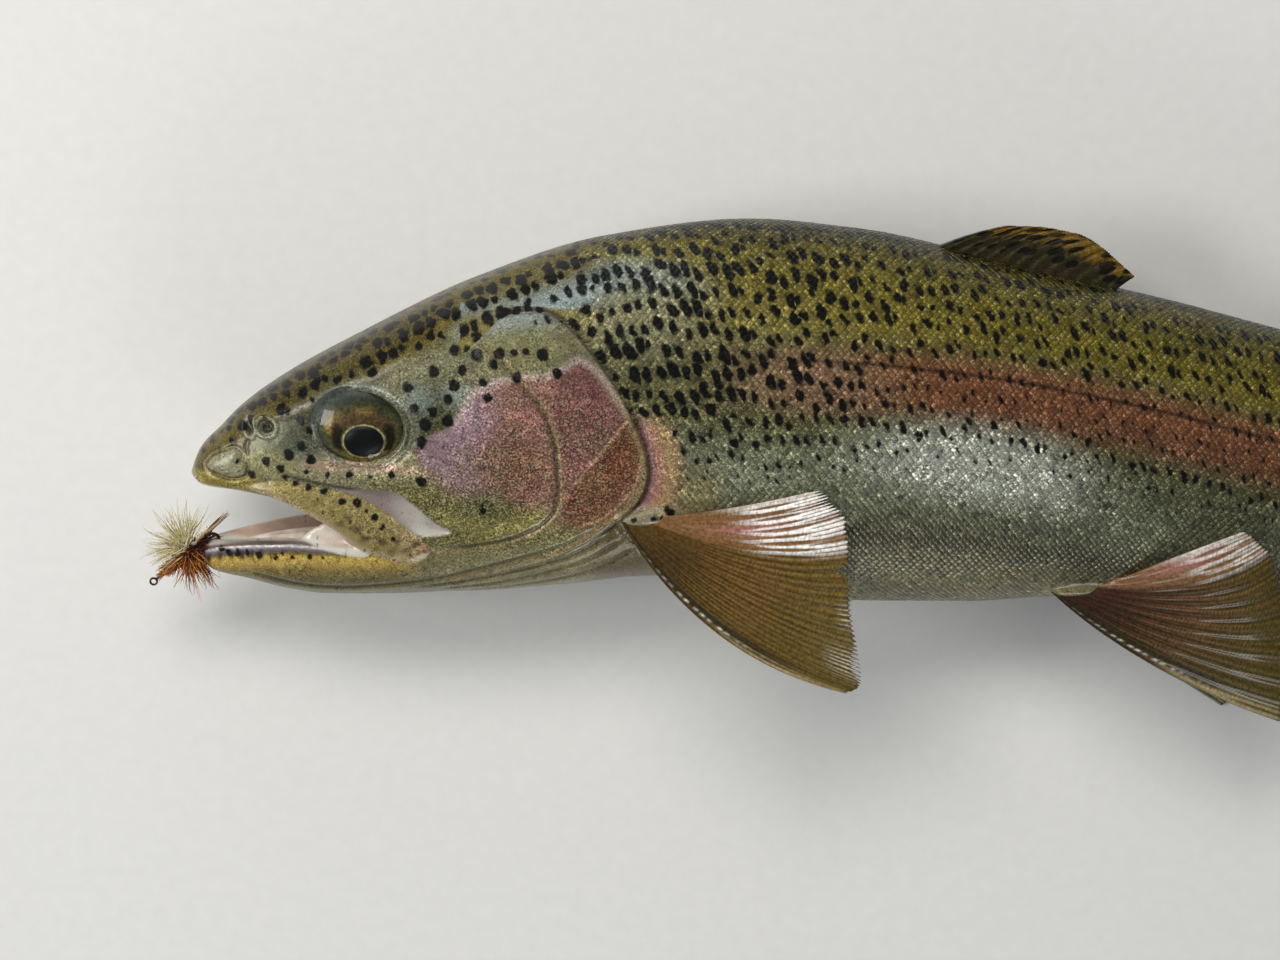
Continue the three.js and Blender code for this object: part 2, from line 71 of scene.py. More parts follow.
BACK = [[0, -6.9], [2, -2], [6.6, 2.9], [11, 7.4], [20, 14], [38, 24], [64, 36.6], [90, 45.2],
        [122, 49.2], [146, 47], [181, 38.8], [216, 30.3], [238, 24.1], [262, 17.3], [285, 10.2],
        [310, 2], [330, -5.5], [345, -11.5], [356, -15.5], [362, -16.5]]
BELLY = [[0, -7.9], [2.2, -9.4], [11, -10.4], [20, -12.2], [31, -16], [37, -21], [42, -28],
         [48, -33], [60, -33.4], [81, -32], [101, -30], [125, -33.2], [150, -35.9], [172, -36],
         [190, -35], [215, -36.4], [238, -38.4], [262, -40], [285, -41.4], [310, -43],
         [330, -45.2], [345, -48.2], [356, -51.5], [362, -54]]
HALF_WIDTH = [[0, 0.6], [1.5, 3.8], [5, 6.8], [11, 9.2], [20, 11.9], [30, 13.8], [40, 15.4],
              [55, 17.8], [70, 19.6], [85, 21], [100, 21.5], [125, 22.1], [150, 22.3],
              [175, 21.7], [200, 20], [225, 17.8], [250, 15.1], [275, 12.4], [300, 9.8],
              [325, 7.4], [345, 5.4], [356, 4.2], [362, 1.6]]
WIDEST_AT = [[0, -7.4], [6, -5], [20, -2], [40, 1], [60, 1], [85, 2], [110, 5], [150, 4.5],
             [190, 1], [238, -8], [285, -16], [330, -25.5], [356, -33.5], [362, -35.2]]
UPPER_SQUARENESS = [[0, 2.2], [20, 2.45], [50, 2.55], [80, 2.3], [120, 2.05], [362, 2.05]]
LOWER_SQUARENESS = [[0, 2.4], [3, 3.2], [31, 3.4], [50, 3], [80, 2.5], [150, 2.3], [362, 2.05]]

JAW_RIM = [[3, -24.6], [6, -23], [13, -21.4], [24, -20], [36, -19.5], [60, -18.5]]
JAW_KEEL = [[3, -26.6], [5, -29.3], [8, -30.5], [12, -31.4], [21, -33.6], [30, -34.6],
            [45, -34.4], [60, -33.5]]
JAW_HALF_WIDTH = [[3, 0.6], [5, 3.4], [8, 5], [13, 7.2], [24, 11], [36, 13.6], [48, 15],
                  [60, 15.5]]
JAW_RIM_DROP = 2.5

MOUTH_ROOF = [[5, -12], [12, -8], [24, -7], [36, -9.5], [50, -13.5], [62, -18]]
MOUTH_FLOOR = [[5, -23.6], [12, -26], [24, -27.4], [36, -27.4], [50, -25], [62, -20]]
MOUTH_HALF_WIDTH = [[5, 1], [8, 3], [13, 4.9], [24, 8.6], [36, 11], [50, 9], [62, 1]]
TONGUE_TOP = [[9.5, -23], [17, -21.4], [24, -20.5], [30, -20.1], [38, -20.4], [46, -22]]
TONGUE_HALF_WIDTH = [[9.5, 0.8], [14, 3.2], [24, 4.8], [40, 5.6], [46, 4.6]]
TONGUE_DEPTH = 7.4

SAG = [[190, 0], [230, -2.2], [275, -6.5], [325, -10.8], [356, -13.2], [380, -17.4],
       [395, -20.3], [408, -20.9]]
LATERAL_LINE = [[0, -6.5], [20, -1], [39, 6.7], [60, 15], [80, 22], [100, 25], [120, 23.7],
                [145, 22.4], [162, 20.7], [180, 18], [197, 14.3], [214, 9.9], [236, 3.2],
                [262, -5.2], [300, -17.5], [330, -27], [362, -35]]

# Lines and outlines on the side of the head, as [x, y].
GILL_EDGE = [[66, 28], [69, 30.6], [73.1, 31.8], [78.5, 32], [82, 30.5], [85.9, 27], [90.1, 22],
             [94.3, 15.8], [97.7, 8.8], [99.7, 3.2], [100.3, -2.3], [98.8, -7.3], [96, -10.6],
             [92.1, -14], [87, -18], [80, -22], [70, -25.6], [58, -28.6], [44, -31]]
CHEEK_EDGE = [[66, 24.5], [69.8, 21.1], [73, 17.3], [77.2, 12.9], [79.3, 8.5], [80.6, 2.9],
              [81, -2.6], [81, -8.2], [79.6, -11.6], [76, -15], [70.5, -17.6], [61.9, -19.4],
              [54, -20.6]]
MAXILLA_TOP = [[13.4, -7.8], [17.8, -6.3], [21.9, -5.9], [26, -6.6], [30, -7.3], [34.1, -7.9],
               [37.3, -8.7], [41.3, -10.6], [44.5, -12.6], [47.6, -15], [50.8, -17.6], [53.2, -20.2]]
MAXILLA_FOOT = [[13.4, -8.4], [16.1, -9.4], [19.8, -10.6], [23.4, -12.1], [26.6, -13.8], [30.6, -16],
                [34, -18.3], [37.4, -20.8], [41, -22.4], [45, -23.4], [49.6, -23.4], [53.2, -20.8]]
MAXILLA = MAXILLA_TOP + MAXILLA_FOOT[::-1]
MEMBRANE = [[31, -6.7], [37, -6.9], [43, -7.0], [46, -7.5], [49.8, -10.2], [52.1, -12.2], [54.5, -14.2],
            [57.6, -16.1], [54.5, -17], [50.6, -17], [46, -13.6], [41, -10.4], [36, -8.2]]
SNOUT_LOBE = [[4.2, -4], [5.6, -2.2], [7.9, -0.9], [10.6, 0.2], [11.8, -0.6], [11.4, -2.2], [12.3, -3.7],
              [12.6, -5.1], [10.4, -5.9], [7.4, -5.6], [4.9, -5.1]]
MOUTH_CORNER = [[23.5, -20], [27.5, -16.4], [31, -14.4], [38, -16], [39.6, -22.2], [34.9, -22.5],
                [28.8, -21.3]]
CORNER_FOLD = [[24.5, -20.4], [27.5, -17.6], [31, -15.4], [38, -17], [45, -21], [44, -23.4], [34, -23.4]]
ROSY_CHEEK = [[50.5, 1.5], [53.2, 5.3], [57.6, 7.3], [60, 11], [63.5, 16], [68, 18.3], [73.4, 19.6],
              [78, 19.8], [81.8, 21.4], [85.7, 23.4], [89.6, 21.1], [94.5, 14.3], [98, 8], [99, 1],
              [97, -5], [92.5, -10.4], [87, -13.6], [81, -12.6], [79, -10.6], [72, -9], [66, -7.8],
              [60, -6.5], [55, -3.5], [51.5, -0.5]]
BROW = [[12.6, 3.3], [14.8, 6.4], [22.1, 8.7], [27, 11.4], [32.3, 14.2], [36.8, 16.1], [40.5, 17.3],
        [47, 21.2], [55.7, 25.5], [64.3, 32.1], [81.5, 37.6], [98.6, 42.6]]

# Creases: line, depth, half-width and how dark the painted shade in the crease reads.
CREASES = [
    (CHEEK_EDGE, 0.5, 0.6, 0.55),
    ([[98.2, 9.9], [95.2, 4.9], [90.8, 1], [85.6, -2.8], [82.3, -5.1]], 0.18, 0.45, 0.25),
    ([[73.8, -2], [78.2, -1.3], [83.4, -0.9], [87.8, -2]], 0.12, 0.4, 0.15),
    ([[4.8, -4.9], [7.3, -6.3], [10.2, -6.7], [12.7, -5.4], [13.4, -2.4]], 0.5, 0.45, 0.6),
    ([[13.4, -1], [13.2, 1.2], [13.9, 3.2]], 0.3, 0.5, 0.5),
    ([[4, -23], [7.4, -22.8], [13, -22.2], [20, -21.6], [27, -21.4]], 0.3, 0.35, 0.35),
    ([[11, -28], [22.7, -30.6], [33.3, -30.9], [46.1, -29.3], [55.2, -27.6], [65.8, -24.4],
      [73.3, -22], [82.4, -18.6], [89.2, -14.3]], 0.45, 0.5, 0.45),
    ([[50, -30.6], [60, -28.8], [72, -25.8], [84, -21.6], [92, -16.4]], 0.35, 0.45, 0.35),
    ([[55, -31.4], [66, -29.6], [77, -26.8], [87, -23], [94.5, -17.6]], 0.35, 0.45, 0.35),
    ([[60, -32], [71, -30.6], [82, -28], [91, -24.4], [97, -20]], 0.3, 0.45, 0.3),
    ([[57.2, -20.4], [66.2, -18.9], [73.6, -15.8], [77.6, -12.1]], 0.2, 0.6, 0.15),
    ([[64.2, 8.4], [64.7, 4], [62.6, 0.2], [60, -3.4]], 0.15, 0.5, 0.12),
    ([[20.5, -4.6], [24, -5.3], [28, -6.1], [33, -6.9], [38, -7.4]], 0.35, 0.4, 0.7),
    ([[50, 2.4], [53.5, 1], [57, -0.4]], 0.15, 0.5, 0.2),
    ([[50.6, 5], [54.6, 3.9], [58.6, 3.2]], 0.15, 0.5, 0.2),
]
# Dark blotches on the head: x, y, radius.
BLOTCHES = [
    (14.3, -4.9, 0.9), (17.7, -1.8, 1.0), (20.8, -3.2, 0.95), (22.7, 0, 1.2), (25.4, 2, 1.1),
    (27.5, -0.8, 1.1), (25.4, 7.6, 1.0), (27.4, 5.6, 0.9), (5, 1.2, 0.7), (10.1, 1.8, 0.8),
    (3.2, -1.4, 0.5), (11.2, -2.2, 0.5), (21.7, -5.2, 0.6), (24.1, -6.3, 0.7), (26.8, -7.1, 0.7),
    (30.2, -7.9, 0.8), (28.8, -9.5, 0.4), (34.2, -9.9, 0.8), (35.7, -14.4, 0.4), (37.5, -10.1, 1.0),
    (41.2, -13.1, 0.9), (45, -18.1, 0.5), (42.8, -15.4, 0.6), (39.4, -11.7, 0.5), (26.4, -3.6, 0.6),
    (31.1, -4.1, 0.6), (35.8, -3.9, 0.8), (40.4, -4.1, 0.5), (45.1, -3.5, 0.8), (51.5, -4.6, 1.2),
    (52.6, 8.1, 1.4), (50.2, 11.4, 1.1), (54.2, 11, 1.1), (57.4, 9, 1.3), (51.6, 4.2, 1.3),
    (58.9, 16.7, 1.3), (57.4, 13.7, 1.1), (48.9, 15.9, 1.1), (63.8, 23.2, 1.3), (68.5, 23.6, 1.2),
    (71.7, 24, 0.9), (77.9, 23.7, 1.3), (67.3, 21.4, 1.0), (72.4, 18.9, 1.1), (81, 19.9, 1.1),
    (74.2, 24.3, 0.7), (66, 14.2, 1.0), (65, 17.6, 0.9), (54.4, 19.4, 1.2), (60.6, 20, 1.1),
    (59, 24, 1.1), (64.8, -10.8, 0.8), (64.6, -9.5, 0.5), (7.6, -24.1, 0.6), (8.8, -24.5, 0.6),
    (10.6, -24.5, 0.7), (12.6, -24.2, 0.6), (15.2, -24.1, 0.75), (19, -24.2, 0.6), (20.4, -23.2, 0.45),
    (22.6, -23.8, 0.5), (26.6, -23.4, 0.5), (29.4, -23.3, 0.35), (105.2, -10.6, 1.0), (101.6, -11.8, 0.6),
    (103.4, -11.8, 0.6), (104.4, -9.6, 0.7), (97.4, -12.1, 0.6),
]
NOSTRIL = (17.6, 5.6)
NOSTRIL_FRONT = (14.0, 5.1)
CLEITHRUM_PLACE = (100.5, -1), (6.5, 11.5), 0.3  # the bare pink bone behind the gill cover
PECTORAL_ROOT = (101, -12), (9, 3.6)  # the scales stop round these ovals
PELVIC_ROOT = (196, -31.5), (9, 2.6)

SPOT_LONG = 2.9  # spacing of the black spots along the flank
SPOT_TALL = 4.5  # and down it, which also makes them taller than long
SPOT_LEAN = 0.26  # how far they lean forward towards the back
NO_BLOTCH = 9.0  # a distance from the head's blotches that is far enough

# ---------------------------------------------------------------- colours
OLIVE = "#5c5413"
OLIVE_GOLD = "#6c6016"
OLIVE_DARK = "#2f2c0a"
FLANK = "#5c5c34"
SILVER = "#7a7e68"
BELLY_PALE = "#746d4b"
ROSE = "#7f4d34"
ROSE_LIGHT = "#7c524c"
VIOLET = "#8d7585"
BROWN_ROSE = "#582b13"
GOLD_GREEN = "#504d22"
GREY_GREEN = "#67664c"
GOLD = "#bda04a"
LOBE_GREEN = "#87856a"
MAXILLA_GOLD = "#8d7f4c"
MAXILLA_TIP = "#a8946c"
GULAR = "#7a7252"
MOUTH_WHITE = "#ece7da"
MOUTH_PINK = "#cbae9b"
EDGE_BEIGE = "#7f6d4b"
CLEITHRUM = "#a87462"
DARK = "#050503"


def rgb(code):
    """A colour such as #54501c, as linear light."""
    share = np.array([int(code[i:i + 2], 16) for i in (1, 3, 5)]) / 255
    return np.where(share <= 0.04045, share / 12.92, ((share + 0.055) / 1.055) ** 2.4)


def rgba(code):
    return (*rgb(code), 1.0)


# ---------------------------------------------------------------- curves
def profile(pairs):
    """A monotone cubic through [x, value] pairs, held flat past both ends."""
    xs, values = np.array(pairs, float).T
    step = np.diff(xs)
    rise = np.diff(values) / step
    slope = np.concatenate([rise[:1], np.zeros(len(step) - 1), rise[-1:]])
    for i in range(1, len(step)):
        if rise[i - 1] * rise[i] > 0:
            a = 2 * step[i] + step[i - 1]
            b = step[i] + 2 * step[i - 1]
            slope[i] = (a + b) / (a / rise[i - 1] + b / rise[i])

    def at(x):
        x = np.clip(x, xs[0], xs[-1])
        i = np.clip(np.searchsorted(xs, x, side="right") - 1, 0, len(step) - 1)
        t = (x - xs[i]) / step[i]
        s = 1 - t
        start = values[i] * (1 + 2 * t) + slope[i] * step[i] * t
        end = values[i + 1] * (3 - 2 * t) - slope[i + 1] * step[i] * s
        return start * s * s + end * t * t

    return at


def smooth(value, low, high):
    """0 at low and 1 at high, with soft ends. low may be over high."""
    t = np.clip((value - low) / (high - low), 0, 1)
    return t * t * (3 - 2 * t)


def between(value, start, full, last, end):
    """Rises from start to full and falls from last to end."""
    return smooth(value, start, full) * smooth(value, end, last)


def bell(value, width):
    return np.exp(-(value / width) ** 2)


def oval(x, y, centre, radii):
    """The distance from a centre, counted in an oval's half-axes."""
    return np.hypot((x - centre[0]) / radii[0], (y - centre[1]) / radii[1])


def line_through(points):
    """A centripetal Catmull-Rom curve through points, as a function of 0 to 1."""
    points = np.array(points, float)
    points = np.vstack([2 * points[0] - points[1], points, 2 * points[-1] - points[-2]])

    def at(u):
        place = np.clip(u, 0, 1) * (len(points) - 3)
        i = np.minimum(place.astype(int), len(points) - 4)
        w = (place - i)[..., None]
        p0, p1, p2, p3 = (points[i + k] for k in range(4))
        a, b, c = (np.sqrt(np.linalg.norm(q - p, axis=-1, keepdims=True))
                   for p, q in ((p0, p1), (p1, p2), (p2, p3)))
        start = ((p1 - p0) / a - (p2 - p0) / (a + b) + (p2 - p1) / b) * b
        end = ((p2 - p1) / b - (p3 - p1) / (b + c) + (p3 - p2) / c) * b
        cubic = 2 * p1 - 2 * p2 + start + end
        square = -3 * p1 + 3 * p2 - 2 * start - end
        return ((cubic * w + square) * w + start) * w + p1

    return at


def line_distance(points, x, y, closed=False):
    """The distance from each (x, y) to a smooth line, positive inside or to its left, and its place."""
    points = list(points) + [points[0]] * closed
    knots = line_through(points)(np.linspace(0, 1, 6 * len(points)))
    best = np.full(len(x), 1e9)
    place = np.zeros(len(x))
    left = np.ones(len(x), bool)
    inside = np.zeros(len(x), bool)
    for i, (start, end) in enumerate(zip(knots, knots[1:])):
        run = end - start
        t = np.clip(((x - start[0]) * run[0] + (y - start[1]) * run[1]) / (run @ run + 1e-12), 0, 1)
        dx, dy = x - start[0] - t * run[0], y - start[1] - t * run[1]
        away = np.hypot(dx, dy)
        nearer = away < best
        best[nearer] = away[nearer]
        left[nearer] = (run[0] * dy > run[1] * dx)[nearer]
        place[nearer] = (i + t[nearer]) / (len(knots) - 1)
        if closed and run[1]:
            crosses = (start[1] > y) != (end[1] > y)
            inside ^= crosses & (x < start[0] + (y - start[1]) * run[0] / run[1])
    return np.where(inside if closed else left, best, -best), place


def over_line(x, y, line):
    """How far (x, y) lies above a line of straight stretches."""
    return y - np.interp(x, *np.array(line).T)


# ---------------------------------------------------------------- sections of the fish
def constant(value):
    return lambda x: value + 0 * x


back, belly, half_width, widest_at = map(profile, (BACK, BELLY, HALF_WIDTH, WIDEST_AT))
jaw_rim, jaw_keel = profile(JAW_RIM), profile(JAW_KEEL)
mouth_roof, mouth_floor = profile(MOUTH_ROOF), profile(MOUTH_FLOOR)
tongue_top = profile(TONGUE_TOP)
sag = profile(SAG)
lateral_line = profile(LATERAL_LINE)

# A section is its top, bottom, half-width, widest height and squareness above and below that.
BODY = (back, belly, half_width, widest_at, profile(UPPER_SQUARENESS), profile(LOWER_SQUARENESS))
JAW = (jaw_rim, jaw_keel, profile(JAW_HALF_WIDTH),
       lambda x: np.maximum(jaw_rim(x) - JAW_RIM_DROP, (jaw_rim(x) + jaw_keel(x)) / 2),
       constant(3.2), constant(2.1))
MOUTH = (mouth_roof, mouth_floor, profile(MOUTH_HALF_WIDTH),
         lambda x: (mouth_roof(x) + mouth_floor(x)) / 2, constant(2.4), constant(2.6))
TONGUE = (tongue_top, lambda x: tongue_top(x) - TONGUE_DEPTH, profile(TONGUE_HALF_WIDTH),
          lambda x: tongue_top(x) - TONGUE_DEPTH / 3, constant(2.2), constant(2.2))


def section_point(shape, x, angle):
    """Where the section at x stands at an angle from its top, as y and z."""
    top, bottom, width, middle, upper, lower = (part(x) for part in shape)
    c, s = np.cos(angle), np.sin(angle)
    power = 2 / np.where(c >= 0, upper, lower)
    height = np.where(c >= 0, top - middle, middle - bottom)
    y = middle + height * np.sign(c) * np.abs(c) ** power
    return y, width * np.sign(s) * np.abs(s) ** power


def section_reach(shape, x, y, z):
    """How far out a point lies, 1 on the surface, and the angle from the top at which it does."""
    top, bottom, width, middle, upper, lower = (part(x) for part in shape)
    above = y >= middle
    power = np.where(above, upper, lower)
    c = np.abs(y - middle) / np.where(above, top - middle, middle - bottom)
    s = np.abs(z) / width
    reach = np.maximum((c ** power + s ** power) ** (1 / power), 1e-6)
    angle = np.arctan2((s / reach) ** (power / 2), np.where(above, 1, -1) * (c / reach) ** (power / 2))
    return reach, angle


# Arc length over each section, from the ridge of the back down to the keel.
ARC_X = np.linspace(0, SKIN_END, 240)
ARC_ANGLE = np.linspace(0, pi, 181)
arc_y, arc_z = section_point(BODY, ARC_X[:, None], ARC_ANGLE[None, :])
ARC = np.concatenate([np.zeros((len(ARC_X), 1)),
                      np.cumsum(np.hypot(np.diff(arc_y), np.diff(arc_z)), axis=1)], axis=1)


def table_at(table, u, v):
    """The value at a place in a table, counted in rows and columns, from the four entries round it."""
    i, j = u.astype(int), v.astype(int)
    fu, fv = u - i, v - j
    near = table[i, j] * (1 - fv) + table[i, j + 1] * fv
    far = table[i + 1, j] * (1 - fv) + table[i + 1, j + 1] * fv
    return near * (1 - fu) + far * fu


def counted(value, end, count):
    """A value from 0 to end as a place in a row of count entries."""
    return np.clip(value / end * (count - 1), 0, count - 1.001)


def arc_at(x, angle):
    return table_at(ARC, counted(x, SKIN_END, len(ARC_X)), counted(angle, pi, len(ARC_ANGLE)))


def whole_arc(x):
    """The arc length from the ridge of the back to the keel."""
    return np.interp(x, ARC_X, ARC[:, -1])


def lateral_arc(x):
    """The arc length of the lateral line below the back."""
    middle = widest_at(x)
    above = lateral_line(x) >= middle
    height = np.where(above, back(x) - middle, middle - belly(x))
    power = np.where(above, BODY[4](x), BODY[5](x))
    share = np.clip(np.abs(lateral_line(x) - middle) / height, 0, 1) ** (power / 2)
    return arc_at(x, np.arccos(np.where(above, 1, -1) * share))


def height_over_lateral(x, y, z):
    """Distance over the skin above the lateral line, negative below it."""
    _, angle = section_reach(BODY, x, y, z)
    return lateral_arc(x) - arc_at(x, angle)


# ---------------------------------------------------------------- meshes
def settled(points):
    """From the fish's own frame to the scene: the tail sags, the flank is pressed flat, metres."""
    placed = np.array(points, float)
    placed[:, 2] = np.maximum(placed[:, 2] + sag(placed[:, 0]), SKIN_GAP - LIE_HEIGHT)
    return (placed + ORIGIN) / 1000


def new_mesh(name, points, faces):
    mesh = bpy.data.meshes.new(name)
    mesh.from_pydata(np.asarray(points).tolist(), [], [list(map(int, face)) for face in faces])
    return mesh


def new_object(name, mesh):
    made = bpy.data.objects.new(name, mesh)
    bpy.context.scene.collection.objects.link(made)
    return made


def piece(name, mesh, finish, replaces=()):
    """A finished piece of the trout, which rides on its one body."""
    mesh.shade_smooth()
    mesh.materials.clear()
    mesh.materials.append(finish)
    made = new_object(name, mesh)
    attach(made, "root")
    if replaces:
        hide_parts(*replaces)
    return made


def vertices(mesh, normals=False):
    values = np.empty(3 * len(mesh.vertices))
    if normals:
        mesh.vertex_normals.foreach_get("vector", values)
    else:
        mesh.vertices.foreach_get("co", values)
    return values.reshape(-1, 3)


def set_vertices(mesh, points):
    mesh.vertices.foreach_set("co", np.asarray(points, np.float32).ravel())
    mesh.update()


def store(mesh, name, values):
    """Keeps a number, or a triple, with each vertex for the materials to read."""
    values = np.asarray(values, np.float32)
    kind, field = ("FLOAT", "value") if values.ndim == 1 else ("FLOAT_VECTOR", "vector")
    mesh.attributes.new(name, kind, "POINT").data.foreach_set(field, values.ravel())


def ring_faces(rings, sides, caps=True):
    faces = []
    for r in range(rings - 1):
        for k in range(sides):
            a, b = r * sides + k, r * sides + (k + 1) % sides
            faces.append((a, b, b + sides, a + sides))
    if caps:
        faces.append(tuple(reversed(range(sides))))
        faces.append(tuple(range((rings - 1) * sides, rings * sides)))
    return faces


def loft(name, shape, stations, sides):
    angles = np.arange(sides) / sides * tau
    y, z = section_point(shape, stations[:, None], angles[None, :])
    x = np.broadcast_to(stations[:, None], y.shape)
    points = np.stack([x, y, z], axis=-1).reshape(-1, 3)
    return new_object(name, new_mesh(name, points, ring_faces(len(stations), sides)))


def ellipsoid(name, centre, radii, lean=0.0, rows=24, sides=40):
    """A closed ellipsoid whose x axis is turned by lean degrees in the side view."""
    fall = np.linspace(0.02, pi - 0.02, rows)[:, None]
    turn = np.arange(sides)[None, :] / sides * tau
    local = np.stack([np.sin(fall) * np.cos(turn) * radii[0], np.sin(fall) * np.sin(turn) * radii[1],
                      np.cos(fall) * radii[2] + 0 * turn], axis=-1).reshape(-1, 3)
    a = radians(lean)
    x = local[:, 0] * cos(a) - local[:, 1] * sin(a)
    y = local[:, 0] * sin(a) + local[:, 1] * cos(a)
    points = np.stack([x, y, local[:, 2]], axis=-1) + centre
    return new_object(name, new_mesh(name, points, [f[::-1] for f in ring_faces(rows, sides)]))


def plate(upper, lower):
    """The points and faces of a closed plate, from the grids of points on its two sides."""
    rows, columns = upper.shape[:2]
    size = rows * columns
    index = np.arange(size).reshape(rows, columns)
    top = np.stack([index[:-1, :-1], index[:-1, 1:], index[1:, 1:], index[1:, :-1]], axis=-1).reshape(-1, 4)
    border = np.concatenate([index[:, 0], index[-1, 1:], index[-2::-1, -1], index[0, -2:0:-1]])
    following = np.roll(border, -1)
    walls = np.stack([border, following, following + size, border + size], axis=-1)
    return np.concatenate([upper, lower]).reshape(-1, 3), np.concatenate([top, top[:, ::-1] + size, walls])


def modified(target, kind, **settings):
    """Applies one modifier to a scratch object."""
    modifier = target.modifiers.new(kind, kind)
    for key, value in settings.items():
        setattr(modifier, key, value)
    depsgraph = bpy.context.evaluated_depsgraph_get()
    target.data = bpy.data.meshes.new_from_object(target.evaluated_get(depsgraph))
    target.modifiers.clear()


def combine(target, other, operation):
    modified(target, "BOOLEAN", object=other, operation=operation, solver="MANIFOLD")
    bpy.data.objects.remove(other)


def relax(points, edges, rounds, weight=0.5):
    """Evens out a mesh without shrinking it: each smoothing is followed by a push back."""
    count = np.maximum(np.bincount(edges.ravel(), minlength=len(points)), 1)[:, None]
    for step in (weight, -weight * 1.04) * rounds:
        total = np.stack([np.bincount(edges[:, 0], points[edges[:, 1], k], len(points))
                          + np.bincount(edges[:, 1], points[edges[:, 0], k], len(points))
                          for k in range(3)], axis=-1)
        points = points + step * (total / count - points)
    return points


def edges_of(mesh):
    values = np.empty(2 * len(mesh.edges), np.int32)
    mesh.edges.foreach_get("vertices", values)
    return values.reshape(-1, 2)


# ---------------------------------------------------------------- materials
class Finish:
    """A node material, written as nested calls. Numbers that never vary go on the shader itself."""

    def __init__(self, name, **constants):
        self.material = bpy.data.materials.new(name)
        self.material.use_nodes = True
        self.tree = self.material.node_tree
        self.shader = self.tree.nodes["Principled BSDF"]
        for key, value in constants.items():
            self.shader.inputs[key.replace("_", " ")].default_value = value

    def node(self, kind, inputs, output=0, **settings):
        made = self.tree.nodes.new("ShaderNode" + kind)
        for key, value in settings.items():
            setattr(made, key, value)
        for key, value in inputs.items():
            self.feed(made.inputs[key], value)
        return made.outputs[output]

    def feed(self, socket, value):
        if isinstance(value, bpy.types.NodeSocket):
            self.tree.links.new(value, socket)
        else:
            socket.default_value = value

    def surface(self, **inputs):
        for key, value in inputs.items():
            self.feed(self.shader.inputs[key.replace("_", " ")], value)
        return self.material

    def stored(self, name, output=2):
        return self.node("Attribute", {}, output, attribute_name=name)

    def parts(self, vector):
        made = self.tree.nodes.new("ShaderNodeSeparateXYZ")
        self.feed(made.inputs[0], vector)
        return made.outputs

    def place(self):
        return self.node("TexCoord", {}, "Object")

    def math(self, operation, a, b=0.0):
        return self.node("Math", {0: a, 1: b}, operation=operation)

    def times(self, a, b):
        return self.math("MULTIPLY", a, b)

    def plus(self, a, b):
        return self.math("ADD", a, b)

    def less(self, a, b):
        return self.math("SUBTRACT", a, b)

    def step(self, value, low, high, start=0.0, end=1.0):
        return self.node("MapRange", {"Value": value, "From Min": low, "From Max": high,
                                      "To Min": start, "To Max": end},
                         interpolation_type="SMOOTHSTEP")

    def blend(self, share, a, b, kind="MIX"):
        return self.node("Mix", {0: share, 6: a, 7: b}, 2, data_type="RGBA", blend_type=kind)

    def shaded(self, tint, red, green=None):
        """A tint with each channel made lighter or darker by a number, mostly the same one."""
        level = self.node("CombineColor", {0: red, 1: green or red, 2: red})
        return self.blend(1.0, tint, level, "MULTIPLY")

    def noise(self, vector, scale, detail=2.0, output=0):
        return self.node("TexNoise", {"Vector": vector, "Scale": scale, "Detail": detail}, output)

    def cells(self, vector, output, randomness=1.0):
        return self.node("TexVoronoi", {"Vector": vector, "Scale": 1.0, "Randomness": randomness}, output,
                         voronoi_dimensions="2D")

    def bump(self, height, distance, strength=1.0, normal=None):
        inputs = {"Height": height, "Distance": distance, "Strength": strength}
        if normal is not None:
            inputs["Normal"] = normal
        return self.node("Bump", inputs)


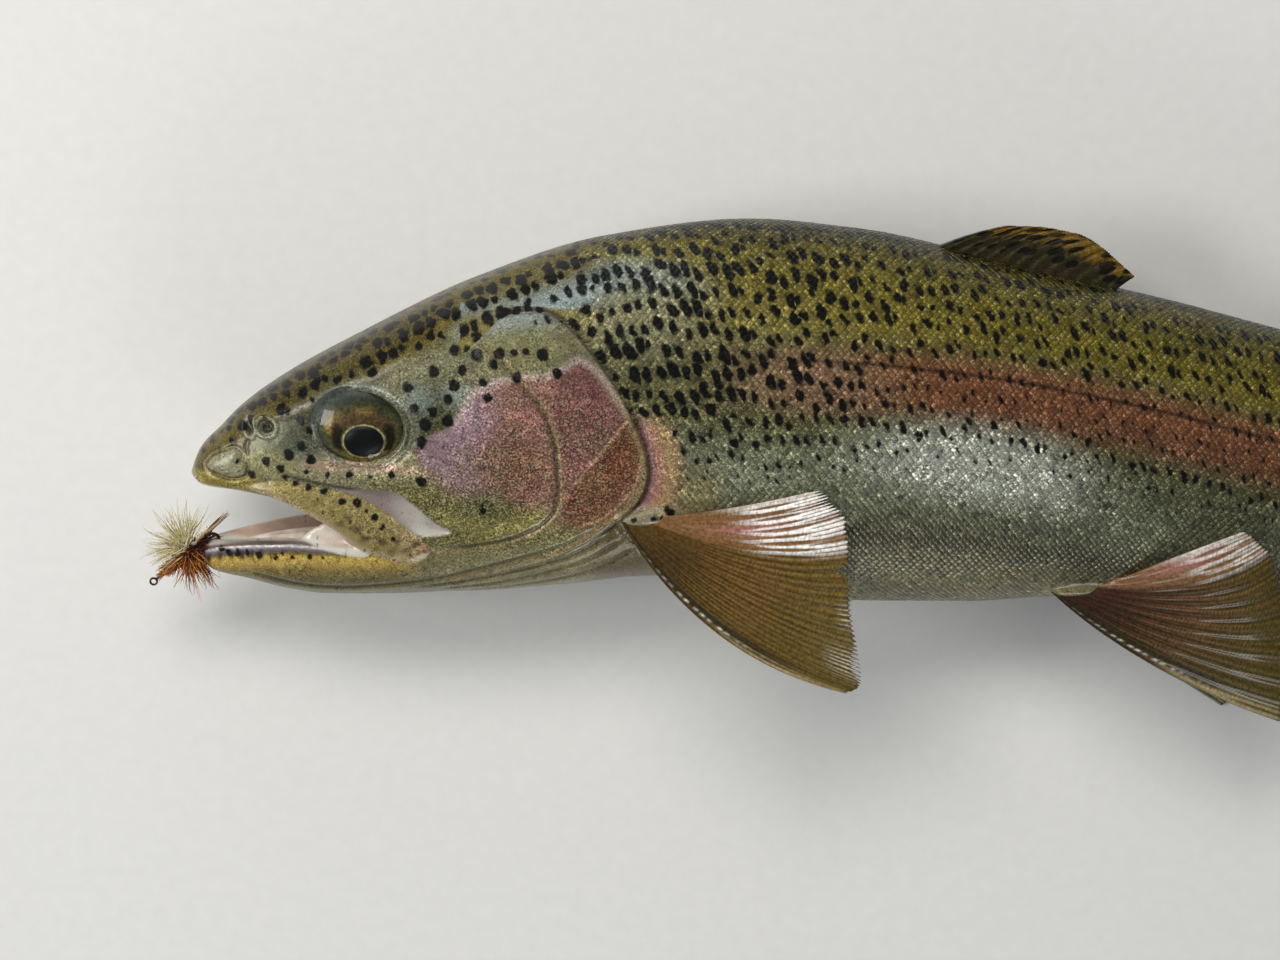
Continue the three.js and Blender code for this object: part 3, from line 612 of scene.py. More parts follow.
def skin_finish():
    """Wet skin and scales: painted zones, broken by grain and by painted glints, with black spots in a
    staggered field.
    """
    f = Finish("trout_skin", IOR=1.36, Coat_Weight=0.22, Coat_Roughness=0.12)
    place = f.place()
    along, up, _ = f.parts(f.stored("chart", "Vector"))
    wander = f.parts(f.noise(f.stored("chart", "Vector"), 0.3, 1.0, "Color"))
    column = f.plus(f.times(along, 1 / SPOT_LONG), f.times(up, SPOT_LEAN / SPOT_LONG))
    column = f.plus(column, f.times(wander[0], 0.7))
    row = f.plus(f.times(up, 1 / SPOT_TALL), f.times(wander[1], 0.5))
    field = f.node("CombineXYZ", {0: column, 1: row})
    chance = f.parts(f.cells(field, "Color", 0.6))
    size = f.times(f.stored("spot"), f.step(chance[0], 0.0, 1.0, 0.72, 1.2))
    rough = f.noise(place, 900.0)
    away = f.plus(f.cells(field, "Distance", 0.6), f.step(rough, 0.3, 0.7, -0.065, 0.065))
    spots = f.step(f.less(away, size), 0.12, -0.09)
    blotches = f.step(f.plus(f.stored("blotch"), f.step(rough, 0.3, 0.7, -0.2, 0.2)), 0.3, -0.3)
    dark = f.times(f.math("MAXIMUM", spots, blotches), f.step(f.noise(place, 1500.0), 0.2, 0.5, 0.88, 1.0))

    grain = f.noise(place, 2600.0)
    coarse = f.noise(place, 700.0, 3.0)
    grainy, gleam = f.stored("grain"), f.stored("gleam")
    level = f.times(f.step(grain, 0.3, 0.72, 0.64, 1.36), f.step(coarse, 0.3, 0.7, 0.78, 1.22))
    level = f.times(level, f.step(f.stored("tone"), -2.0, 2.0, 0.7, 1.3))
    # glint and sparkle are painted glints: lighter specks wherever the stored gleam is.
    glint = f.step(f.noise(place, 1900.0, 1.0), 0.46, 0.66, 0.15, 2.7)
    level = f.times(level, f.plus(1.0, f.times(gleam, glint)))
    middle = f.less(1.3, f.times(f.math("MAXIMUM", grainy, 1.0), 0.3))
    uneven = f.times(grainy, f.step(f.noise(place, 330.0), 0.38, 0.62, 0.45, 1.25))
    level = f.plus(middle, f.times(uneven, f.less(level, 1.0)))
    tint = f.blend(f.step(f.noise(place, 160.0, 3.0), 0.35, 0.65, 0.0, 0.6),
                   f.stored("hide", "Color"), f.stored("hide_two", "Color"))
    tint = f.shaded(tint, f.math("MAXIMUM", level, 0.3))
    sparkle = f.times(gleam, f.step(f.noise(place, 2300.0, 1.0), 0.52, 0.66, 0.0, 0.85))
    # The lateral line's own dark line, plus painted shade in the head's creases and gill slit.
    for share, code in ((f.math("MINIMUM", sparkle, 0.7), "#cdc59c"), (f.stored("line_and_crease_shade"), "#1e180d"),
                        (f.stored("rim"), "#1c1a0a"), (dark, DARK)):
        tint = f.blend(share, tint, rgba(code))
    even = f.math("MINIMUM", grainy, 1.0)
    fine = f.bump(f.times(grain, even), 0.00008, 0.35, f.bump(f.times(coarse, even), 0.00022, 0.3))
    return f.surface(Base_Color=tint, Normal=fine, Coat_Normal=fine,
                     Metallic=f.times(f.stored("shine"), f.less(1.0, dark)),
                     Roughness=f.step(grain, 0.2, 0.8, 0.22, 0.44))


# ---------------------------------------------------------------- the skin
def in_mouth(x, y, z):
    """1 on the walls of the mouth, fading over its lips."""
    reach, _ = section_reach(MOUTH, x, y, z)
    late = smooth(x, 44, 48)  # where the cheek is thin
    walls = 1 - smooth(reach, 1.02 - 0.02 * late, 1.16 - 0.12 * late)
    return walls * ((x > 4.5) & (x < 61))


def nostrils(x, y):
    """The distances from the nostril's two openings."""
    return oval(x, y, NOSTRIL, (1, 1 / 1.1)), oval(x, y, NOSTRIL_FRONT, (0.8, 1.3))


def outside_eye(x, y):
    """The distance outside the ring where the skin meets the cornea."""
    return (oval(x, y, EYE_CENTRE, EYE_RIM) - 1) * EYE_RIM[0]


def relief(points, normals):
    """How far the skin moves out or in where the head has plates, folds and openings."""
    x, y, z = points.T
    side = smooth(np.abs(normals[:, 2]), 0.12, 0.45) * (1 - in_mouth(x, y, z))

    behind_gill, along = line_distance(GILL_EDGE, x, y)
    fade = smooth(along, 0.0, 0.08) * (1 - 0.75 * smooth(along, 0.6, 0.95))
    edge = smooth(behind_gill, -0.3, 0.3)
    push = fade * ((1 - edge) * 0.55 * np.exp(np.minimum(behind_gill, 0) / 7)
                   - edge * np.exp(-np.maximum(behind_gill, 0) / 4.5))

    for line, depth, width, _ in CREASES:
        away, along = line_distance(line, x, y)
        push -= depth * bell(away, width) * (0.3 + 0.7 * between(along, 0, 0.08, 0.92, 1))
    push += 0.3 * bell(line_distance(CHEEK_EDGE, x, y)[0] + 1.4, 1.2)
    lobe, membrane, blade = (line_distance(outline, x, y, closed=True)[0]
                             for outline in (SNOUT_LOBE, MEMBRANE, MAXILLA))
    push += 0.5 * (1 - np.exp(-np.maximum(lobe, 0) / 0.8)) - 0.3 * bell(lobe + 0.5, 0.45)
    push -= 0.8 * (1 - np.exp(-np.maximum(membrane, 0) / 1.4))
    push += 0.2 * bell(blade - 1.8, 1.2)
    away, along = line_distance(BROW, x, y)
    push += 0.5 * bell(away, 0.9) * between(along, 0, 0.1, 0.4, 0.75)

    from_eye = outside_eye(x, y)
    push += 0.5 * bell(from_eye - 0.5, 0.6) - 0.3 * bell(from_eye - 2.0, 0.9)
    push -= 3.4 * smooth(from_eye, 0.0, -1.5)
    ring, front = nostrils(x, y)
    swirl = np.mod(np.arctan2(y - NOSTRIL[1], x - NOSTRIL[0]), tau)
    push += 0.55 * bell(ring - 2.3, 0.36) - 0.8 * bell(ring, 1.6)
    push += 0.6 * bell(ring - 0.35 - 0.2 * swirl, 0.28) * (ring < 1.9)
    push += 0.45 * bell(front - 1.6, 0.35) - 0.8 * bell(front, 0.9)
    push += 0.4 * bell(y - jaw_rim(x) + 1.5, 0.7) * between(x, 4, 7, 26, 32) * (y < -20)
    return normals * (push * side)[:, None]


def jaw_set(points):
    """Brings the tip of the lower jaw forward and its lip up, as the photo has them."""
    x, y, _ = points.T
    jaw = y < -17
    lip = smooth(y, jaw_rim(x) - 4, jaw_rim(x) - 1)
    ahead = -1.4 * smooth(x, 13, 3)
    lift = 0.8 * lip * smooth(x, 32, 22)
    return points + np.stack([ahead * jaw, lift * jaw, 0 * x], axis=-1)


def lay(tones, *coats):
    """Lays colours over those that are there, in turn: each coat is a colour and its share."""
    for colour, share in zip(coats[::2], coats[1::2]):
        colour = rgb(colour) if isinstance(colour, str) else colour
        tones = tones + (colour - tones) * np.clip(share, 0, 1)[:, None]
    return tones


def blob(x, y, centre, radii, edge=0.5):
    """1 inside an oval on the side of the head, fading over its edge."""
    return smooth(oval(x, y, centre, radii), 1 + edge, 1 - edge)


def zones_along(height, stops):
    """Colours that blend from one height over the lateral line to the next."""
    levels = [level for level, _ in stops]
    tones = np.array([rgb(code) for _, code in stops])
    return np.stack([np.interp(height, levels, tones[:, k]) for k in range(3)], axis=-1)


def trunk_marks(x, y, height):
    """The markings of the scaled flank: olive back, rose band, silver side and pale belly, with painted
    shade, sheen, reflections and glints over them.
    """
    ragged = height + 2.4 * (np.modf(np.abs(np.sin(x * 12.9 + y * 78.2)) * 437.5)[0] - 0.5)
    rose = between(ragged, -14.5, -7, 0, 6.5) * smooth(x, 100, 165)
    core = bell(height + 3, 7) * smooth(x, 130, 175)
    # A painted silvery sheen low on the flank; it also raises the painted glints there.
    painted_silver_sheen = blob(x, height, (172, -19), (24, 7.5), 0.7)
    tones = lay(
        # The dark tone at -38 is painted shade low on the side, between the silver and the belly.
        zones_along(height, [(-48, BELLY_PALE), (-38, "#46422b"), (-26, SILVER), (-14, "#646540"),
                             (2, FLANK), (9, OLIVE_GOLD), (18, OLIVE), (30, OLIVE_DARK)]),
        "#6c6846", 0.6 * smooth(x, 165, 105) * between(height, -16, -6, 8, 20),
        "#8a7a2c", 0.3 * smooth(x, 190, 130) * between(height, 2, 8, 22, 32),
        # Painted blue-grey reflection along the nape.
        "#82949a", 0.8 * bell(height - 17 + 0.12 * (x - 90), 4) * smooth(x, 120, 94),
        ROSE, 0.75 * rose + 0.2 * core,
        "#8f9478", 0.4 * blob(x, height, (128, -27), (17, 8), 0.6),
        "#d2d5c6", 0.75 * painted_silver_sheen,
        "#5d6048", 0.6 * smooth(x, 186, 200) * bell(height + 20, 8),
        "#98765e", 0.55 * blob(x, height, (136, -5), (15, 6), 0.6),
        # Painted grey reflection on the shoulder.
        "#87876c", 0.6 * blob(x, height, (99, 9), (12, 9), 0.6),
        "#877b52", 0.75 * blob(x, y, (109, -5.5), (7, 6), 0.5))
    front = smooth(x, 165, 118)
    spot = 0.3 * smooth(height + 9 * front, -25, -11 + 3 * front) * (1 - 0.15 * smooth(height, 18, 30))
    spot *= 1 + 0.22 * smooth(x, 150, 112) * smooth(height, -24, -10)
    spot *= 1 - 0.5 * core - 0.12 * smooth(x, 130, 200) - 0.1 * smooth(height, 0, -12)
    return {
        "hide": tones,
        "hide_two": tones * np.where(height > 8, 0.74, 0.86)[:, None],
        "spot": spot,
        "blotch": np.full(len(x), NO_BLOTCH),
        # The lateral line, a dark line the fish has.
        "line_and_crease_shade": 0.85 * bell(height, 0.38) * smooth(x, 112, 150),
        "shine": 0.12 + 0.33 * between(height, -40, -26, -12, 6),
        "grain": np.ones(len(x)),
        "gleam": 0.1 + 0.4 * painted_silver_sheen + 0.5 * between(height, -34, -26, -14, -4),
    }


def within(outline, x, y, edge=0.5):
    """1 inside a closed outline on the side of the head, fading over its edge."""
    return smooth(line_distance(outline, x, y, closed=True)[0], -edge, edge)


def skull_tones(x, y, behind_gill, along):
    """The colours of the bare head, laid over each other from the top down."""
    over_brow = over_line(x, y, BROW)
    ring, front = nostrils(x, y)
    tones = zones_along(over_brow / (0.5 + 1.6 * smooth(x, 40, 60)),
                        [(-1.4, GREY_GREEN), (0.6, "#5c501a"), (5, "#463b10")])
    tones = lay(
        tones,
        "#36423e", 0.85 * blob(x, y, (25.5, 0.5), (5.5, 4), 0.6),
        "#33321c", 0.85 * blob(x, y, (25.5, 7.5), (5, 3.6), 0.5),
        "#86835a", 0.75 * blob(x, y, (18, -2), (6.5, 3.4), 0.5),
        "#544a18", blob(x, y, (5, 0), (9, 8), 0.3) * (1 - smooth(over_brow, -1, -3) * smooth(x, 9, 12)),
        "#464a36", 0.85 * blob(x, y, (38.9, 6.6), (13.5, 10.8), 0.3),
        "#363a22", 0.9 * blob(x, y, (55, 9), (6, 8), 0.5),
        # Pale slate patches behind the eye, painted as highlights.
        "#717c75", 0.75 * blob(x, y, (51, 13.5), (3.2, 3), 0.6),
        "#7d8883", 0.65 * blob(x, y, (60, 14.5), (4, 2.6), 0.6),
        "#8c8648", 0.85 * smooth(y, -6.6, -7.8) * between(x, 12, 14, 18, 22),
        "#867a3c", smooth(y, -5.2, -6) * smooth(x, 18, 14),
        "#c4ae98", 0.8 * smooth(y, belly(x) + 1.6, belly(x) + 0.6) * smooth(x, 20, 14),
        GOLD_GREEN, blob(x, y, (60, -12), (24, 9), 0.45) * smooth(x, 28, 42),
        "#a09774", 0.8 * bell(y + 2.4, 2.2) * between(x, 20, 28, 50, 56),
        "#a47a74", 0.55 * bell(y + 2.0, 1.1) * between(x, 22, 30, 48, 54),
        "#6b6640", smooth(y, -4, -9) * smooth(x, 74, 80),
        # Painted highlight along the brow ridge.
        "#aaa696", 0.6 * bell(over_brow + 0.3, 0.7) * between(x, 20, 24, 42, 50),
        # Painted highlight on the ring of skin round the eye, strongest at its upper front.
        "#b4bab0", 0.6 * bell(outside_eye(x, y) - 1.5, 0.45) * (0.35 + 0.65 * smooth(y - 0.5 * x, -14, -6)),
        # Painted shade inside the two nostrils, then painted highlights round their rims.
        "#1c1e14", 0.85 * np.maximum(smooth(ring, 2.1, 1.5), smooth(front, 1.3, 0.9)),
        "#b4b49c", 0.75 * np.maximum(bell(ring - 2.35, 0.26), bell(front - 1.65, 0.24)))

    rosy = within(ROSY_CHEEK, x, y, 0.9 + 3 * smooth(y, 2, -8))
    in_rosy, _ = line_distance(ROSY_CHEEK, x, y, closed=True)
    below_suture = (x - 84) * 0.78 - (y + 5) * 0.62
    gill_rim, _ = line_distance([[99.2, 3], [97.6, -4], [94.2, -8.8], [89.6, -12.4], [86.4, -13.6]], x, y)
    tones = lay(
        tones,
        ROSE_LIGHT, rosy,
        VIOLET, 0.75 * rosy * smooth(x, 72, 62),
        "#5f3c2c", 0.8 * rosy * blob(x, y, (70, -1), (9, 7), 0.6),
        "#613a3b", 0.85 * rosy * smooth(x, 79, 82) * smooth(y, -2, 4),
        "#b9aca0", 0.65 * bell(in_rosy - 0.5, 0.8) * smooth(y, 4, 12),
        BROWN_ROSE, 0.85 * rosy * smooth(below_suture, -0.6, 1.2) * smooth(x, 80, 84),
        "#b08a68", 0.7 * bell(below_suture, 0.3) * rosy * smooth(x, 83, 86),
        "#b98a6c", 0.7 * bell(gill_rim, 0.3),
        # Painted slate-blue reflection on the nape.
        "#8b9a9b", 0.85 * bell(over_brow + 3.2, 3.4) * smooth(x, 52, 62) * smooth(y, 25, 29),
        "#76714a", 0.7 * blob(x, y, (73, 24.5), (9, 5), 0.5),
        "#3c411f", 0.85 * blob(x, y, (64.5, -10.6), (6, 4), 0.7),
        "#857e46", 0.7 * bell(y + 15.4 - 0.25 * np.abs(x - 66), 2.4) * between(x, 52, 58, 76, 82),
        "#77704a", 0.8 * smooth(y, -17, -23) * smooth(x, 44, 54),
        GULAR, 0.75 * smooth(y, -24, -29) * smooth(x, 40, 54))

    jaw = smooth(y, -18.5, -20.5) * smooth(x, 54, 44)
    down = jaw_rim(x) - y
    # The lip's colours from its rim down; the near-white stop at 1.6 is a painted highlight line.
    lips = zones_along(down, [(-0.2, "#bdb6ac"), (0.6, "#b3aba2"), (0.95, "#6a5850"), (1.4, "#6e5f5c"),
                              (1.6, "#e4dfda"), (1.9, "#8c8088"), (2.5, "#5c5054"), (2.9, "#6e6230"),
                              (3.5, GOLD), (5, "#b59a54"), (6.6, "#8c7a46"), (9, "#6f6644"), (11.5, GULAR)])
    teeth = smooth(np.sin(x * 2.9), 0, 0.6) * smooth(x, 19, 15)
    corner = within(MOUTH_CORNER, x, y, 0.3)
    blade = within(MAXILLA, x, y, 0.25)
    foot = over_line(x, y, MAXILLA_FOOT)
    waves = np.sin(x * 1.7 + 2 * np.sin(y * 1.1)) + np.sin(y * 2.3 + 1.4 * np.sin(x * 0.9))
    skin_fold = within(MEMBRANE, x, y, 0.35) * (1 - blade)
    gill_edge = bell(behind_gill + 0.9, 0.8) * (np.abs(along - 0.5) < 0.45) * (1 - 0.75 * smooth(y, 12, 19))
    return lay(
        tones,
        lips, jaw,
        "#2c2226", 0.8 * jaw * bell(down - 3.0, 1.0) * teeth,
        "#cdc7bb", corner,
        "#a58a7c", 0.8 * corner * blob(x, y, (35, -19.6), (5, 1.2), 0.5),
        MAXILLA_GOLD, blade,
        MAXILLA_TIP, blade * smooth(x, 43, 51),
        "#46341f", 0.85 * blade * smooth(waves, -0.9, 1.3) * bell(foot - 4.2, 2.6) * smooth(x, 26, 36),
        "#ac9a78", 0.85 * blade * bell(foot - 0.4, 1.2),
        "#9c6a3c", 0.6 * blade * blob(x, y, (54, -20.6), (3, 2.4), 0.5),
        "#8a7c78", skin_fold,
        "#c8c4b8", skin_fold * smooth(x, 42, 52),
        LOBE_GREEN, within(SNOUT_LOBE, x, y, 0.25),
        EDGE_BEIGE, 0.85 * gill_edge,
        EDGE_BEIGE, 0.85 * bell(line_distance(CHEEK_EDGE, x, y)[0] - 0.4, 0.65))


def head_marks(marks, x, y, z, height, wall):
    """The same markings in front of the gill opening, and on the walls of the mouth."""
    behind_gill, along = line_distance(GILL_EDGE, x, y)
    cover = np.where(x < 60, 1.0, np.where(y > 33, smooth(x, 96, 84), smooth(behind_gill, 0.2, -0.2)))
    cleithrum = blob(x, y, *CLEITHRUM_PLACE) * (behind_gill > -1)
    side_wall = smooth(np.abs(z) / MOUTH[2](x), 0.6, 0.85) * smooth(y - mouth_floor(x), 1, 2.5)
    tones = lay(
        marks["hide"],
        CLEITHRUM, 0.9 * cleithrum,
        "#a08a5c", 0.8 * cleithrum * smooth(behind_gill, 2.4, 5),
        "#8f6a76", 0.6 * cleithrum * bell(behind_gill - 1.2, 0.8),
        "#574626", 0.85 * throat(x, y),
        "#8a835c", 0.75 * throat(x, y) * smooth(x, 94, 84),
        "#8a8468", 0.8 * blob(x, y, (101, -12), (8.5, 3), 0.4),
        skull_tones(x, y, behind_gill, along), cover,
        MOUTH_WHITE, wall,
        MOUTH_PINK, wall * np.maximum(0.9 * side_wall, 0.8 * smooth(y, -20, -12)))
    on_cheek = cover * blob(x, y, (66, 0), (32, 20), 0.4) * (1 - 0.8 * blob(x, y, (55, 9), (7, 9), 0.5))
    membrane, corner = within(MEMBRANE, x, y), within(MOUTH_CORNER, x, y, 0.3)
    second = lay(tones * np.where(height > 8, 0.74, 0.8)[:, None],
                 "#77684a", 0.4 * on_cheek * (1 - wall) * (1 - corner))

    # Painted shade in the gill slit under the cover's edge, then in each crease of the head.
    gill_slit_shade = 0.75 * bell(behind_gill - 0.35, 0.5) * between(along, 0.03, 0.1, 0.55, 0.8)
    line_and_crease_shade = np.maximum(marks["line_and_crease_shade"], gill_slit_shade)
    for line, _, width, darkness in CREASES:
        away, place = line_distance(line, x, y)
        line_and_crease_shade = np.maximum(line_and_crease_shade, darkness * bell(away, width * 0.9) * between(place, 0, 0.1, 0.9, 1))
    blotch = marks["blotch"]
    for bx, by, radius in BLOTCHES:
        blotch = np.minimum(blotch, np.hypot(x - bx, (y - by) * 0.92) - radius)
    crown = np.maximum(smooth(over_line(x, y, BROW), -1.5, 1.5), 0.7 * smooth(x, 56, 62) * smooth(y, 29, 32))
    soft = np.maximum(smooth(y, -18, -20) * (x < 54), membrane)
    lip = smooth(y - jaw_rim(x), -2.9, -2.3) * (y < -18) * (x < 40)
    plain = np.max([membrane, corner, wall, lip], axis=0)
    shine = marks["shine"] * (1 - cover) + cover * (0.12 + 0.2 * on_cheek)
    gleam = marks["gleam"] * (1 - cover) + cover * (0.12 + 0.4 * on_cheek) * (1 - soft)
    return {
        "hide": tones,
        "hide_two": second,
        "spot": marks["spot"] * (1 - cleithrum) * np.where(cover > 0.5, crown, 1.0) * (1 - plain),
        "blotch": blotch + NO_BLOTCH * wall,
        "line_and_crease_shade": line_and_crease_shade * (1 - wall),
        "shine": shine * (1 - wall),
        "grain": (1 + 0.2 * cover * on_cheek + 0.1 * cover) * (1 - 0.94 * plain),
        "gleam": gleam * (1 - wall),
    }


def throat(x, y):
    """1 on the smooth bare skin under the gill covers, which narrows to a ragged end under the breast."""
    end = x + 2.5 * np.sin(y * 2.3) + 1.2 * np.sin(y * 7.9 + x * 1.7)
    return smooth(y + 0.35 * (x - 96), -13, -16) * smooth(end + 0.9 * (y + 24), 112, 96)


def markings(points, wall=None):
    """The markings at each point of the skin or of its scales."""
    x, y, z = points.T
    height = height_over_lateral(x, y, z)
    wall = np.zeros(len(x)) if wall is None else wall
    marks = trunk_marks(x, y, height)
    head = x < HEAD_REACH
    part = {name: values[head] for name, values in marks.items()}
    for name, values in head_marks(part, x[head], y[head], z[head], height[head], wall[head]).items():
        marks[name][head] = values
    marks["chart"] = np.stack([x, height, 0 * x], axis=-1)
    return marks


def store_marks(mesh, marks, hand):
    """Keeps them with the mesh. The right flank's spots have a place of their own in the field."""
    shift = np.where(np.asarray(hand) < 0, RIGHT_SIDE, 0.0)[..., None] * (0, 1, 0)
    for name, values in marks.items():
        store(mesh, name, values + shift if name == "chart" else values)


def refine(mesh, reach):
    """Halves the faces in front of reach."""
    work = bmesh.new()
    work.from_mesh(mesh)
    edges = [edge for edge in work.edges if edge.verts[0].co.x < reach and edge.verts[1].co.x < reach]
    bmesh.ops.subdivide_edges(work, edges=edges, cuts=1, use_grid_fill=True)
    work.to_mesh(mesh)
    work.free()


def jaw_blade(hand):
    """The maxilla, a plate whose lower edge hangs free beside the mouth."""
    t, s = np.linspace(0, 1, 90)[:, None], np.linspace(0, 1, 16)[None, :]
    upper, lower = (line_through(line)(t[:, 0])[:, None] for line in (MAXILLA_TOP, MAXILLA_FOOT))
    flat = upper * (1 - s[..., None]) + lower * s[..., None]
    x, y = flat[..., 0], flat[..., 1]
    middle = widest_at(x)
    low = np.minimum(np.abs(y - middle) / (middle - np.minimum(belly(x), -36)), 0.62)
    face = half_width(x) * (1 - low ** 3) ** (1 / 3) - 0.6
    rounded = np.sqrt(1 - np.abs(2 * s - 1) ** 3) * np.sqrt(1 - np.abs(2 * t - 1) ** 5)
    sides = (face + 0.9 * rounded * (0.55 + 0.45 * smooth(s, 0, 0.6)), face - 1.5 * rounded)
    points, faces = plate(*(np.stack([x, y, z * hand], axis=-1) for z in sides))
    return new_object("blade", new_mesh("blade", points, faces[:, ::hand]))


def prism(name, outline, z_outer, z_inner, hand):
    """A plate with an outline in the side view and its two faces at distances that may vary along x."""
    points = line_through(outline + outline[:1])(np.linspace(0, 1, 12 * len(outline), endpoint=False))
    x = points[:, 0]
    rings = np.concatenate([np.column_stack([points, hand * z(x)]) for z in (z_inner, z_outer)])
    return new_object(name, new_mesh(name, rings, [face[::-hand] for face in ring_faces(2, len(points))]))


def make_skin(finish):
    """Body, jaw and fleshy fin roots grown into one, hollowed by the mouth and eye sockets."""
    stations = np.concatenate([np.linspace(0, 12, 30)[:-1], np.linspace(12, SKIN_END, 330)])
    flesh = loft("flesh", BODY, stations, 150)
    combine(flesh, loft("jaw", JAW, np.linspace(3, 60, 80), 90), "UNION")
    combine(flesh, loft("cavity", MOUTH, np.linspace(5, 62, 70), 80), "DIFFERENCE")
    for hand in (1, -1):
        combine(flesh, jaw_blade(hand), "UNION")
        fold = prism("corner", CORNER_FOLD, lambda x: JAW[2](x) - 1.1, lambda x: JAW[2](x) - 2.7, hand)
        combine(flesh, fold, "UNION")
        combine(flesh, ellipsoid("shoulder", (100, -11.6, 19.6 * hand), (7.5, 2.6, 2.3), 8), "UNION")
        combine(flesh, ellipsoid("hip", (196, -30.6, 9.6 * hand), (8.5, 2.4, 2.6), 6), "UNION")
    modified(flesh, "REMESH", mode="VOXEL", voxel_size=VOXEL)
    mesh = flesh.data
    mesh.name = "skin"
    set_vertices(mesh, relax(vertices(mesh), edges_of(mesh), 2))
    refine(mesh, FINE_HEAD)
    points = relax(vertices(mesh), edges_of(mesh), 2)
    set_vertices(mesh, points)
    head = points[:, 0] < HEAD_REACH
    points[head] += relief(points[head], vertices(mesh, normals=True)[head])
    points = relax(points, edges_of(mesh), 1, 0.3)
    store_marks(mesh, markings(points, in_mouth(*points.T)), points[:, 2])
    set_vertices(mesh, settled(jaw_set(points)))
    bpy.data.objects.remove(flesh)
    return piece("skin", mesh, finish,
                 ["head", "lower_jaw", "trunk", "tail_stalk", "gill_cover_left", "gill_cover_right",
                  "upper_jaw_blade_left", "upper_jaw_blade_right"])


# ---------------------------------------------------------------- the coat of scales
SHARES = np.linspace(0, 1, 121)
ANGLE_AT = np.stack([np.interp(SHARES * row[-1], row, ARC_ANGLE) for row in ARC])


def flank_point(x, arc):
    """The point of the left flank at x, an arc length down from the ridge of the back."""
    whole = whole_arc(x)
    over = (arc < 0) | (arc > whole)  # past the ridge or the keel it comes down the other side
    arc = np.where(arc > whole, 2 * whole - arc, np.abs(arc))
    column = np.clip(arc / whole, 0, 1) * (len(SHARES) - 1.001)
    y, z = section_point(BODY, x, table_at(ANGLE_AT, counted(x, SKIN_END, len(ARC_X)), column))
    return np.stack([x, y, np.where(over, -z, z)], axis=-1)


def flank_normal(x, arc, step=0.4):
    ahead = flank_point(x + step, arc) - flank_point(x - step, arc)
    down = flank_point(x, arc + step) - flank_point(x, arc - step)
    normal = np.cross(down, ahead)
    return normal / np.linalg.norm(normal, axis=-1, keepdims=True)


def scale_roots():
    """The free edge of each scale in staggered rows: its column, x and height over the lateral line."""
    rows = np.arange(-90, 78)
    columns = np.arange(int((SKIN_END - 3 - SCALES_START) / SCALE_LONG))
    row, column = (grid.ravel() for grid in np.meshgrid(rows, columns, indexing="ij"))
    x = SCALES_START + (column + 0.5 * (row % 2)) * SCALE_LONG
    height = row * SCALE_TALL
    arc = lateral_arc(x) - height
    y = flank_point(x, arc)[:, 1]
    behind_gill, _ = line_distance(GILL_EDGE, x, y)
    bare = (arc < -0.4) | (arc > whole_arc(x) + 0.4)
    bare |= np.where(y > 33, x < 88 + 3 * np.sin(height), behind_gill < 1.6)
    bare |= (blob(x, y, *CLEITHRUM_PLACE) > 0.5) | (throat(x, y) > 0.5)
    for fin_root in (PECTORAL_ROOT, PELVIC_ROOT):
        bare |= oval(x, y, *fin_root) < 1
    return column[~bare], x[~bare], height[~bare]


# A scale's grid: from its root, under its neighbours, to its free edge, and across.
SCALE_ALONG = np.array([0.0, 0.5, 0.94, 1.0])[None, :, None]
SCALE_ACROSS = np.linspace(-1, 1, 5)[None, None, :]
SCALE_REACH = 1.75 * SCALE_LONG
SCALE_WIDTH = 2.3 * SCALE_TALL
UNWRAP_LONG, UNWRAP_TALL = 365.0, 115.0  # millimetres of flank that the map's unit square takes
PATCH = 0.003


